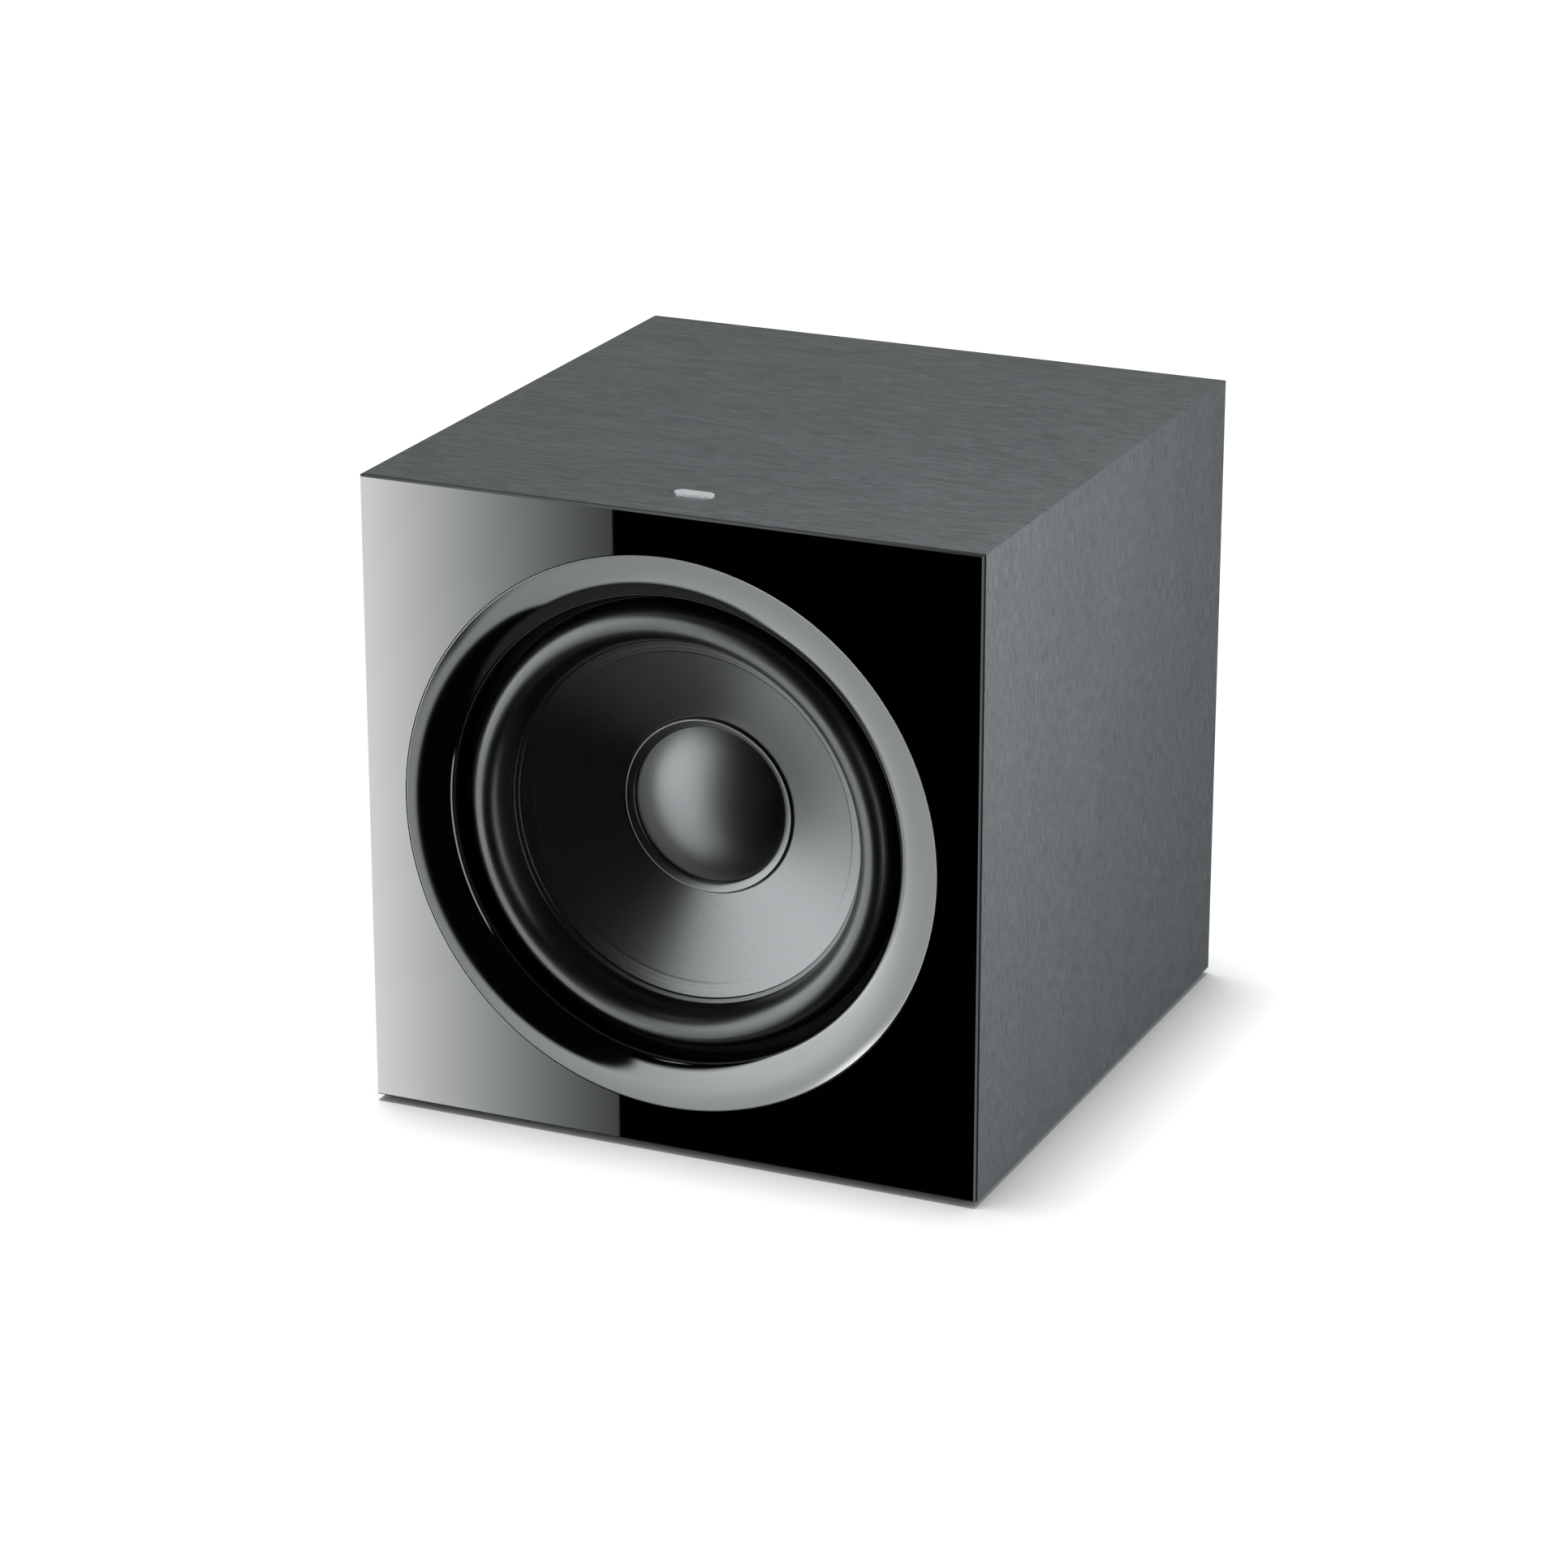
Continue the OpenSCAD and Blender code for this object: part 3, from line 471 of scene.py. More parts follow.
def wound(name, colour, centre, turns, roughness, depth=0.1, **sockets):
    """Tape or wire wound round a core, as streaks that fan out from an axis along Y, each lap darker at its
    low side as painted shade.
    """
    made, g, shader = start_material(name, roughness, **sockets)
    place = g.node("ShaderNodeVectorMath", {0: g.position(), 1: centre}, operation="SUBTRACT").outputs[0]
    x, y, z = g.axes(place)
    angle = g.math("ARCTAN2", z, x)
    lap = g.math("FRACT", g.times(angle, turns / (2 * math.pi)))
    blur = g.noise(place, 120.0, 3.0)
    # painted shade: each lap is darkest where it is lowest, beside the edge of the lap next to it
    g.put(shader.inputs["Base Color"], g.mix(lap, shade(colour, 0.7), shade(colour, 1.15)))
    g.put(shader.inputs["Roughness"], g.vary(blur, roughness * 0.8, roughness * 1.2))
    g.put(shader.inputs["Normal"], g.bump(lap, depth))
    return made


def coiled(name, colour, pitch_mm, roughness, **sockets):
    """Wire wound in fine turns along Y, with painted shade in the grooves between the turns."""
    made, g, shader = start_material(name, roughness, **sockets)
    place = g.position()
    x, y, z = g.axes(place)
    turn = g.math("SINE", g.times(y, 2 * math.pi / (pitch_mm * MM)))
    tint = g.noise(place, 80.0, 2.0)
    # painted shade: the wire is darkest in the grooves between turns, where the bump is lowest
    wire = g.mix(g.ramp(turn, -1.0, 1.0), shade(colour, 0.45), shade(colour, 1.1))
    g.put(shader.inputs["Base Color"], g.mix(g.times(tint, 0.3), wire, shade(colour, 0.6)))
    g.put(shader.inputs["Roughness"], g.vary(tint, roughness * 0.8, roughness * 1.2))
    g.put(shader.inputs["Normal"], g.bump(turn, 0.06))
    return made


def laminate(name, colour):
    """Circuit board: glass-cloth laminate with tracks that show through the mask."""
    made, g, shader = start_material(name, 0.35)
    place = g.position()
    x, y, z = g.axes(place)
    track_w = 2.5 * MM
    snapped = g.vector(g.math("SNAP", x, track_w), 0.0, g.math("SNAP", z, track_w))
    tracks = g.ramp(g.noise(g.scaled(snapped, (0.35, 1.0, 1.0)), 160.0, 1.0), 0.53, 0.55)
    weave = g.noise(place, 1500.0, 2.0)
    mask = g.mix(weave, shade(colour, 0.8), shade(colour, 1.2))
    g.put(shader.inputs["Base Color"], g.mix(tracks, mask, shade(colour, 2.2)))
    g.put(shader.inputs["Roughness"], g.vary(weave, 0.3, 0.45))
    g.put(shader.inputs["Normal"], g.bump(g.plus(tracks, g.times(weave, 0.2)), 0.04))
    return made


def ringed_plastic(name, colours, edges):
    """Glossy moulded plastic in three colours along X, one for each jack."""
    made, g, shader = start_material(name, 0.3)
    place = g.position()
    x, y, z = g.axes(place)
    broad = g.noise(place, 90.0, 3.0)
    first = g.mix(g.math("GREATER_THAN", x, edges[0]), shade(colours[0], 1.0), shade(colours[1], 1.0))
    plain = g.mix(g.math("GREATER_THAN", x, edges[1]), first, shade(colours[2], 1.0))
    g.put(shader.inputs["Base Color"], g.mix(g.times(broad, 0.3), plain, (0.1, 0.1, 0.1, 1.0)))
    g.put(shader.inputs["Roughness"], g.vary(broad, 0.25, 0.36))
    g.put(shader.inputs["Normal"], g.bump(g.noise(place, 1400.0, 2.0), 0.01))
    return made


def clear_glass(name):
    """Clear glass, faintly smeared."""
    made, g, shader = start_material(name, 0.05, Transmission_Weight=0.85, IOR=1.5)
    smear = g.noise(g.position(), 300.0, 2.0)
    g.put(shader.inputs["Base Color"], g.mix(smear, (0.8, 0.86, 0.86, 1.0), (0.95, 0.97, 0.97, 1.0)))
    g.put(shader.inputs["Roughness"], g.vary(smear, 0.03, 0.12))
    return made


transformer_low, transformer_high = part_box("transformer")
transformer_middle = (Vector(transformer_low) + Vector(transformer_high)) / 2

jacks_low, jacks_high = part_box("rca_jacks")
jack_edges = [jacks_low[0] + (jacks_high[0] - jacks_low[0]) * share for share in (1 / 3, 2 / 3)]
jack_colours = [(0.02, 0.02, 0.022), (0.8, 0.8, 0.78), (0.6, 0.02, 0.015)]

rubber_black = (0.0015, 0.0015, 0.0017)
composite_black = (0.001, 0.0011, 0.0013)

# One material for each material slot of the record
materials = {
    "gloss_black": lacquer("gloss_black", (0.0002, 0.0002, 0.0002), 0.008, 0.0002, Specular_IOR_Level=0.3),
    "mdf": fibreboard("mdf", (0.42, 0.31, 0.2)),
    "ash_veneer": veneer("ash_veneer_across", (0.06, 0.0655, 0.0672), 0, 560.0, 0.32),
    "rear_paint": powder_coat("rear_paint", (0.045, 0.045, 0.047), 0.6),
    "wadding": fleece("wadding", (0.78, 0.77, 0.73)),
    "foot_rubber": moulded("foot_rubber", (0.02, 0.02, 0.02), 0.7, 800.0, 0.06),
    "zinc_steel": metal("zinc_steel", (0.56, 0.57, 0.6), 0.35),
    "polished_metal": metal("polished_metal", (0.88, 0.88, 0.89), 0.25, 0, 0.001, 0.75),
    "ring_gloss": lacquer("ring_gloss", (0.0006, 0.0006, 0.0007), 0.07, 0.0012, Specular_IOR_Level=0.8),
    "gasket_foam": moulded("gasket_foam", (0.03, 0.03, 0.03), 0.9, 1500.0, 0.15),
    "cast_alloy": powder_coat("cast_alloy", (0.06, 0.06, 0.065), 0.55),
    "black_steel": metal("black_steel", (0.03, 0.03, 0.03), 0.4, None, 0.01, 0.6),
    "surround_rubber": moulded(
        "surround_rubber", rubber_black, 0.34, 1800.0, 0.006, Specular_IOR_Level=0.5
    ),
    "cone_composite": fibrous(
        "cone_composite", composite_black, 0.31, 700.0, 0.006, Specular_IOR_Level=0.9
    ),
    "cap_composite": fibrous(
        "cap_composite", composite_black, 0.37, 900.0, 0.006, Specular_IOR_Level=0.92
    ),
    "cap_ring": moulded("cap_ring", (0.002, 0.002, 0.0022), 0.33, 1800.0, 0.005, Specular_IOR_Level=1.0),
    "former_alloy": metal("former_alloy", (0.7, 0.65, 0.5), 0.3, 1),
    "copper_wire": coiled("copper_wire", (0.72, 0.36, 0.18), 0.3, 0.35, Metallic=0.7),
    "spider_cloth": woven("spider_cloth", (0.62, 0.5, 0.22), 0.7),
    "ferrite": moulded("ferrite", (0.08, 0.08, 0.085), 0.6, 700.0, 0.05),
    "phenolic": fibrous("phenolic", (0.2, 0.11, 0.05), 0.5),
    "tinsel_braid": woven("tinsel_braid", (0.7, 0.5, 0.3), 0.35, 0.5, 0.08, Metallic=0.5),
    "wire_jacket": moulded("wire_jacket", (0.5, 0.03, 0.02), 0.4),
    "plate_paint": powder_coat("plate_paint", (0.03, 0.03, 0.032), 0.45),
    "anodised_alloy": metal("anodised_alloy", (0.05, 0.05, 0.053), 0.42, 2, 0.02, 0.5),
    "box_steel": metal("box_steel", (0.5, 0.51, 0.52), 0.45, 0),
    "board_laminate": laminate("board_laminate", (0.02, 0.16, 0.06)),
    "brass_metal": metal("brass_metal", (0.76, 0.6, 0.3), 0.25),
    "winding_tape": wound("winding_tape", (0.72, 0.5, 0.08), transformer_middle, 40, 0.3),
    "capacitor_sleeve": moulded("capacitor_sleeve", (0.02, 0.025, 0.05), 0.25, 300.0, 0.01),
    "jack_plastic": ringed_plastic("jack_plastic", jack_colours, jack_edges),
    "pot_metal": metal("pot_metal", (0.4, 0.42, 0.42), 0.4, 0),
    "knob_plastic": moulded("knob_plastic", (0.02, 0.02, 0.02), 0.45, 1200.0, 0.03),
    "switch_plastic": moulded("switch_plastic", (0.015, 0.015, 0.015), 0.3, 1200.0, 0.02),
    "pin_metal": metal("pin_metal", (0.7, 0.7, 0.68), 0.2, 1),
    "fuse_glass": clear_glass("fuse_glass"),
    "led_lens": moulded("led_lens", (0.2, 0.65, 0.3), 0.12, 400.0, 0.004, Transmission_Weight=0.5),
}

# The sides' grain runs upwards, the surround's rim is matt, and the marks at the knobs are printed
veneer_up = veneer("ash_veneer_up", (0.0585, 0.0645, 0.0675), 2, 800.0, 0.3)
rim_rubber = moulded("rim_rubber", rubber_black, 0.75, 900.0, 0.02, Specular_IOR_Level=0.1)
print_ink = moulded("print_ink", (0.6, 0.6, 0.58), 0.5, 900.0, 0.01)

for part in frame["record"]["subparts"]:
    for material_slot in nodes[part["node"]].material_slots:
        material_slot.material = materials[part["material_slot"]]
for name in ("left_panel", "right_panel"):
    for material_slot in nodes[name].material_slots:
        material_slot.material = veneer_up


def finish_piece(obj, slot_name, body, *stands_for, material=None):
    """Gives a piece its material and its CAD body, and hides the CAD nodes it stands for."""
    obj.data.materials.clear()
    obj.data.materials.append(material or materials[slot_name])
    if body:
        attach(obj, body)
    if stands_for:
        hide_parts(*stands_for)
    return obj


# ---- Driver ----

# Profile sizes: radii and depths behind the front face in millimetres, slopes in degrees. The ring's flare
# and the surround's roll are drawn closer to the photograph than in the CAD.
ring_r = 171.6
ring_edge = 0.3
ring_plate = 4.0
flare_slope = 5.8
lip_r = 146.5
lip_slope = 36.0
throat_r = 144.0
throat_t = 2.2
rim_depth = 27.0
roll_r = 126.6
roll_section = 11.6
roll_height = 17.0
surround_t = 1.2
rim_r = 146.6
foot_in_r = roll_r - roll_section + surround_t / 2
land_w = 4.6
glue = 0.2
former_r = 37.5
cone_in_depth = 68.4
cone_fall = 0.5
cone_back = 1.677
rib_radii = (104.2, 106.4)
rib_height = 0.22
rib_width = 0.45
cap_r = 49.0
cap_rise = 15.0
cap_shell = 1.2


def cone_depth(radius):
    """How far the cone's straight front face lies behind the front at a radius."""
    return cone_in_depth - (radius - former_r) * cone_fall


def radial_blend(obj, inner_r, outer_r):
    """The piece follows the cone inside inner_r and the cabinet outside outer_r, both in millimetres."""
    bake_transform(obj, "cabinet", "moving_cone", (0, front_y, axis_z), (0, front_y, axis_z + 1))
    weights = obj.data.attributes["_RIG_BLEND"]
    for vertex in obj.data.vertices:
        radius = math.hypot(vertex.co.x, vertex.co.z - axis_z) / MM
        share = min(max((outer_r - radius) / (outer_r - inner_r), 0.0), 1.0)
        weights.data[vertex.index].value = share * share * (3 - 2 * share)


def trim_ring():
    """Nearly flat outside, then a flare that steepens to a rounded lip, and a straight throat."""
    outside = ring_r - ring_edge
    steps = 64
    step = (outside - lip_r) / steps
    depth = 0.0
    flare = [(outside, depth)]
    for i in range(steps):
        slope = flare_slope + (lip_slope - flare_slope) * ((i + 0.5) / steps) ** 2
        depth += step * math.tan(math.radians(slope))
        flare.append((outside - step * (i + 1), depth))
    lip = []
    start = math.radians(lip_slope)
    turn_r = (lip_r - throat_r) / (1 - math.sin(start))
    lip_steps = 12
    for i in range(1, lip_steps + 1):
        slope = start + (math.pi / 2 - start) * i / lip_steps
        reach = turn_r * (math.sin(slope) - math.sin(start))
        lip.append((lip_r - reach, depth + turn_r * (math.cos(start) - math.cos(slope))))
    edge = arc((outside, ring_edge), ring_edge, 0, -90, 4)
    plate_in_r = 155.5
    back = [
        (throat_r, rim_depth - 2),
        (throat_r, rim_depth),
        (throat_r + throat_t, rim_depth),
        (throat_r + throat_t, 15.0),
        (throat_r + 6, 10.5),
        (plate_in_r, 5.5),
        (plate_in_r, ring_plate),
        (ring_r, ring_plate),
    ]
    ring = lathe("trim_ring_gloss", flare + lip + back + edge[:-1], driver_axis, 256, 30)
    finish_piece(ring, "ring_gloss", "cabinet", "trim_ring")


def surround():
    """Half roll between a flat rim and a land glued to the cone, and the matt ring on its rim."""
    outer = roll_section + surround_t / 2
    inner = roll_section - surround_t / 2
    outer_height = roll_height + surround_t / 2
    inner_height = roll_height - surround_t / 2
    foot_out_r = foot_in_r - surround_t
    land_in_r = foot_in_r - land_w
    profile = [(rim_r, rim_depth + surround_t), (rim_r, rim_depth), (rim_r - 1, rim_depth)]
    profile += [(roll_r + outer + 2.0, rim_depth), (roll_r + outer + 1.5, rim_depth)]
    profile += [(roll_r + outer + 0.4, rim_depth - 0.15)]
    profile += arc((roll_r, rim_depth), outer, -3, -180, 48, outer_height)
    for radius in (foot_out_r - 0.5, foot_out_r - 0.8, land_in_r + 0.8, land_in_r + 0.5):
        profile.append((radius, cone_depth(radius) - glue - surround_t))
    profile += [
        (land_in_r + 0.1, cone_depth(land_in_r) - glue - surround_t * 0.7),
        (land_in_r, cone_depth(land_in_r) - glue),
        (foot_in_r, cone_depth(foot_in_r) - glue),
    ]
    profile += arc((roll_r, rim_depth), inner, -180, 0, 48, inner_height)
    profile += [(roll_r + inner, rim_depth + surround_t)]
    rubber = lathe("surround_roll", profile, driver_axis, 256, 50)
    finish_piece(rubber, "surround_rubber", None, "surround")
    radial_blend(rubber, foot_in_r, roll_r + outer)
    rim_in_r = roll_r + outer + 0.5
    rim_front = rim_depth - 0.5
    corners = [(rim_in_r, rim_depth), (rim_in_r, rim_front), (rim_r, rim_front), (rim_r, rim_depth)]
    rim = lathe("surround_rim", rounded(corners, 0.15), driver_axis, 256, 50)
    finish_piece(rim, "surround_rubber", "cabinet", material=rim_rubber)


def cone():
    """The cone, with two shallow ribs pressed near its rim."""
    front = []
    steps = 90
    for i in range(steps + 1):
        radius = foot_in_r + (former_r - foot_in_r) * i / steps
        rib = 0.0
        for rib_r in rib_radii:
            rib += rib_height * math.exp(-(((radius - rib_r) / rib_width) ** 2))
        front.append((radius, cone_depth(radius) - rib))
    back = [(former_r, cone_depth(former_r) + cone_back), (foot_in_r, cone_depth(foot_in_r) + cone_back)]
    obj = lathe("cone_dish", front + back, driver_axis, 256, 40)
    finish_piece(obj, "cone_composite", "moving_cone", "cone")


def dust_cap():
    """A thin dome, open by a hair at its crest."""
    dome_r = (cap_r**2 + cap_rise**2) / (2 * cap_rise)
    seat = 0.8
    crest = cone_depth(cap_r) - seat - cap_rise
    half_angle = math.degrees(math.asin(cap_r / dome_r))
    top = -89.9
    outside = arc((0, crest + dome_r), dome_r, -90 + half_angle, top, 40)
    inside = arc((0, crest + dome_r), dome_r - cap_shell, top, -90 + half_angle * 0.97, 40)
    obj = lathe("dust_cap_dome", outside + inside, driver_axis, 192, 40)
    finish_piece(obj, "cap_composite", "moving_cone", "dust_cap")


def dust_cap_ring():
    """A flat collar with rounded edges, on the cone and round the cap."""
    near = cap_r + 0.3
    far = near + 5.4
    seat = 0.02
    corners = [
        (near, cone_depth(near) - seat),
        (far, cone_depth(far) - seat),
        (far, cone_depth(far) - 1.1),
        (far - 0.8, cone_depth(far) - 1.8),
        (near + 1.2, cone_depth(near) - 2.6),
        (near, cone_depth(near) - 1.8),
    ]
    obj = lathe("dust_cap_collar", rounded(corners, 0.5, 3), driver_axis, 192, 40)
    finish_piece(obj, "cap_ring", "moving_cone", "dust_cap_ring")


def spider():
    """Corrugated cloth, with waves that run as one smooth curve."""
    near = former_r + glue
    far = 87.0
    flat = 4.0
    waves = 9
    wave_h = 4.5
    cloth = 0.9
    crest = 93.1
    front = []
    steps_per_wave = 12
    steps = waves * steps_per_wave
    for i in range(steps + 1):
        t = i / steps
        radius = near + (far - flat - near) * t
        height = (1 - math.cos(2 * math.pi * waves * t)) / 2 * wave_h
        front.append((radius, crest - height))
    front += [(far, crest)]
    back = [(radius, depth + cloth) for radius, depth in reversed(front)]
    obj = lathe("spider_cloth_disc", front + back, driver_axis, 144, 60)
    finish_piece(obj, "spider_cloth", None, "spider")
    radial_blend(obj, near + 2, far - flat)


def tinsel_leads():
    """Two braided leads, each of three strands twisted together, from the cone to the terminals."""
    route = [(71, 55.4), (73, 66), (82, 74), (93, 77), (101, 83), (101, 90), (96.4, 95), (96, 98.6)]
    angle = math.radians(120)
    outward = Vector((math.cos(angle), 0, math.sin(angle)))
    sideways = Vector((-math.sin(angle), 0, math.cos(angle)))
    inward = Vector((0, 1, 0))
    half_gap = 7
    strand_r = 0.46
    twist_r = 0.42
    points_per_turn = 9
    strands = []
    for side in (-1, 1):
        start = driver_axis + sideways * side * half_gap * MM
        points = [start + (outward * r + inward * d) * MM for r, d in route]
        path = smooth_path(points, 24)
        for k in range(3):
            twisted = []
            for i, here in enumerate(path):
                along = (path[min(i + 1, len(path) - 1)] - path[max(i - 1, 0)]).normalized()
                across = sideways.cross(along).normalized()
                turn = 2 * math.pi * (k / 3 + i / points_per_turn)
                twisted.append(here + (sideways * math.cos(turn) + across * math.sin(turn)) * twist_r * MM)
            strands.append(tube("strand", twisted, strand_r * MM, 8))
    obj = join("tinsel_braids", strands)
    finish_piece(obj, "tinsel_braid", None, "tinsel_leads")
    bend_start = driver_axis + (outward * 73 + inward * 62) * MM
    bend_end = driver_axis + (outward * 97 + inward * 94) * MM
    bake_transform(obj, "moving_cone", "cabinet", tuple(bend_start), tuple(bend_end))


trim_ring()
surround()
cone()
dust_cap()
dust_cap_ring()
spider()
tinsel_leads()


# ---- Inside the cabinet ----


def islands(obj):
    """(lowest, highest) corners of each loose part of a mesh."""
    bm = bmesh.new()
    bm.from_mesh(obj.data)
    bmesh.ops.remove_doubles(bm, verts=bm.verts, dist=1e-6)
    seen = set()
    found = []
    for first in bm.verts:
        if first.index in seen:
            continue
        group = []
        waiting = [first]
        seen.add(first.index)
        while waiting:
            vertex = waiting.pop()
            group.append(vertex.co.copy())
            for edge in vertex.link_edges:
                other = edge.other_vert(vertex)
                if other.index not in seen:
                    seen.add(other.index)
                    waiting.append(other)
        low = Vector(tuple(min(p[k] for p in group) for k in range(3)))
        high = Vector(tuple(max(p[k] for p in group) for k in range(3)))
        found.append((low, high))
    bm.free()
    return found


def box_grid(low, high, cell):
    """A box's surface as a grid of faces no longer than about a cell."""
    size = high - low
    counts = [max(3, round(side / cell)) for side in size]
    bm = bmesh.new()
    made = {}

    def vertex(*key):
        if key not in made:
            made[key] = bm.verts.new([low[n] + size[n] * key[n] / counts[n] for n in range(3)])
        return made[key]

    for axis in range(3):
        first, second = [n for n in range(3) if n != axis]
        for end in (0, counts[axis]):
            for i in range(counts[first]):
                for j in range(counts[second]):
                    corner = []
                    for di, dj in ((0, 0), (1, 0), (1, 1), (0, 1)):
                        key = [0, 0, 0]
                        key[axis] = end
                        key[first] = i + di
                        key[second] = j + dj
                        corner.append(vertex(*key))
                    bm.faces.new(corner)
    bmesh.ops.recalc_face_normals(bm, faces=bm.faces)
    return bm


def wadding_slab(name, low, high):
    """A lumpy slab with soft edges that stays inside its box."""
    cell = 0.012
    lump_scale = 28.0
    fluff_scale = 95.0
    least_pull = 0.0006
    lump_pull = 0.0022
    fluff_pull = 0.0009
    edge_pull = 0.0022
    nearly_one = 0.999
    middle = (low + high) / 2
    half = (high - low) / 2
    bm = box_grid(low, high, cell)
    for v in bm.verts:
        lump = 0.5 + 0.5 * noise.noise(v.co * lump_scale)
        fluff = 0.5 + 0.5 * noise.noise(v.co * fluff_scale)
        share = sorted(abs(v.co[n] - middle[n]) / half[n] for n in range(3))
        edge = edge_pull if share[1] > nearly_one else 0.0
        v.co -= v.normal * (least_pull + lump_pull * lump + fluff_pull * fluff + edge)
    mesh = bpy.data.meshes.new(name)
    bm.to_mesh(mesh)
    bm.free()
    mesh.shade_smooth()
    obj = new_object(name, mesh)
    soften = obj.modifiers.new("soften", "SUBSURF")
    soften.levels = 1
    soften.render_levels = 1
    return obj


for number, (low, high) in enumerate(islands(nodes["acoustic_wadding"])):
    slab = wadding_slab(f"wadding_slab_{number + 1}", low, high)
    finish_piece(slab, "wadding", "cabinet", "acoustic_wadding")


# ---- Controls on the back ----

# The knobs' travel either way from straight up, in degrees, and the ink marks round them, in millimetres
KNOB_TURN = 150
MARKS = 11
MARK_IN_R = 12.2
MARK_OUT_R = 14.6


def rear_place(node_name):
    """Middle of a CAD node, on the plane of the amplifier plate."""
    low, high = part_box(node_name)
    return Vector(((low[0] + high[0]) / 2, rear_y, (low[2] + high[2]) / 2))


def knob_size(node_name):
    """A CAD knob's radius, and how far it stands out, in millimetres."""
    low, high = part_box(node_name)
    return (high[0] - low[0]) / 2 / MM, (high[1] - rear_y) / MM


def knob(node_name, body):
    """Knob with soft flutes and a dished face, from rings of (radius, height, share of the flutes' depth)."""
    place = rear_place(node_name)
    radius, height = knob_size(node_name)
    steps = 216
    flutes = 18
    flute_depth = 0.55
    shaft_r = 3.02
    skirt_r = 7.2
    rings = [
        (shaft_r, 11.0, 0),
        (shaft_r, 6.0, 0),
        (skirt_r, 6.0, 0),
        (skirt_r, 0.8, 0),
        (radius - 0.3, 0.8, 0),
        (radius, 1.1, 0),
        (radius, 2.6, 0),
        (radius, 3.4, 1),
        (radius - 0.15, height - 2.2, 1),
        (radius - 0.6, height - 1.2, 0.7),
        (radius - 1.6, height - 0.5, 0.2),
        (radius - 2.6, height - 0.35, 0),
        (radius - 4.0, height - 0.6, 0),
        (0.4, height - 0.9, 0),
    ]
    points = []
    for i in range(steps):
        angle = 2 * math.pi * i / steps
        groove = max(0.0, math.cos(flutes * angle)) ** 2 * flute_depth
        for r, out, fluted in rings:
            reach = r - groove * fluted
            points.append(place + Vector((reach * math.cos(angle), out, reach * math.sin(angle))) * MM)
    faces = []
    count = len(rings)
    for i in range(steps):
        a = i * count
        b = (i + 1) % steps * count
        for k in range(count - 1):
            faces.append((a + k, a + k + 1, b + k + 1, b + k))
    faces.append(tuple(i * count + count - 1 for i in range(steps)))
    faces.append(tuple(i * count for i in range(steps)))
    cap = mesh_object(node_name + "_fluted", points, faces, 35)
    finish_piece(cap, "knob_plastic", body, node_name)


def knob_pointer(node_name, body):
    """White line let into a knob's face, from near its middle down over its rim."""
    place = rear_place(node_name)
    radius, height = knob_size(node_name)
    half = 0.45
    line = [
        (-half, height - 1.2, 2.5),
        (half, height - 1.2, 2.5),
        (half, height - 0.1, 2.7),
        (-half, height - 0.1, 2.7),
        (-half, height - 1.9, radius - 0.45),
        (half, height - 1.9, radius - 0.45),
        (half, height - 0.25, radius - 1.5),
        (-half, height - 0.25, radius - 1.5),
    ]
    pointer = prism(node_name + "_pointer", [place + Vector(p) * MM for p in line])
    bevel(pointer, 0.12)
    finish_piece(pointer, "knob_plastic", body, material=print_ink)


def knob_marks(name, node_name):
    """Raised ink marks round a knob, one at each setting. Those at the ends and the middle are longer."""
    place = rear_place(node_name)
    ink = Vector((0, 0.06, 0))
    marks = []
    for i in range(MARKS):
        angle = math.radians(90 - KNOB_TURN + 2 * KNOB_TURN * i / (MARKS - 1))
        long_mark = i % 5 == 0
        reach = MARK_OUT_R if long_mark else (MARK_IN_R + MARK_OUT_R) / 2
        half = 0.28 if long_mark else 0.18
        along = Vector((math.cos(angle), 0, math.sin(angle)))
        across = Vector((-math.sin(angle), 0, math.cos(angle)))
        corners = []
        for lift in (-0.02, 1.0):
            for distance, side in ((MARK_IN_R, -1), (reach, -1), (reach, 1), (MARK_IN_R, 1)):
                corners.append(place + (along * distance + across * side * half + ink * lift) * MM)
        marks.append(prism("mark", corners))
    obj = join(name, marks)
    finish_piece(obj, "plate_paint", "cabinet", material=print_ink)


for name, body in (("level_knob", "level_control"), ("crossover_knob", "crossover_control")):
    knob(name, body)
    knob_pointer(name, body)
knob_marks("level_marks", "level_knob")
knob_marks("crossover_marks", "crossover_knob")

for name in ("top_panel", "bottom_panel", "left_panel", "right_panel"):
    bevel(nodes[name], 0.35)
bevel(nodes["front_fascia"], 0.12)
for name in ("amp_plate", "rocker_bezel", "mains_inlet", "power_rocker", "fuse_drawer", "badge"):
    bevel(nodes[name], 0.3)


# ---- Stage, light and camera ----


def floor():
    """A pale round floor that reflections don't show, a hair under the feet."""
    bm = bmesh.new()
    bmesh.ops.create_circle(bm, cap_ends=True, segments=96, radius=14.0)
    mesh = bpy.data.meshes.new("floor")
    bm.to_mesh(mesh)
    bm.free()
    obj = new_object("floor", mesh)
    made, g, shader = start_material("floor", 0.9, Specular_IOR_Level=0.0)
    cloud = g.noise(g.position(), 3.0)
    g.put(shader.inputs["Base Color"], g.mix(cloud, (0.88, 0.88, 0.88, 1), (0.9, 0.9, 0.9, 1)))
    obj.data.materials.append(made)
    obj.visible_glossy = False
    obj.location.z = -0.1 * MM
    return obj


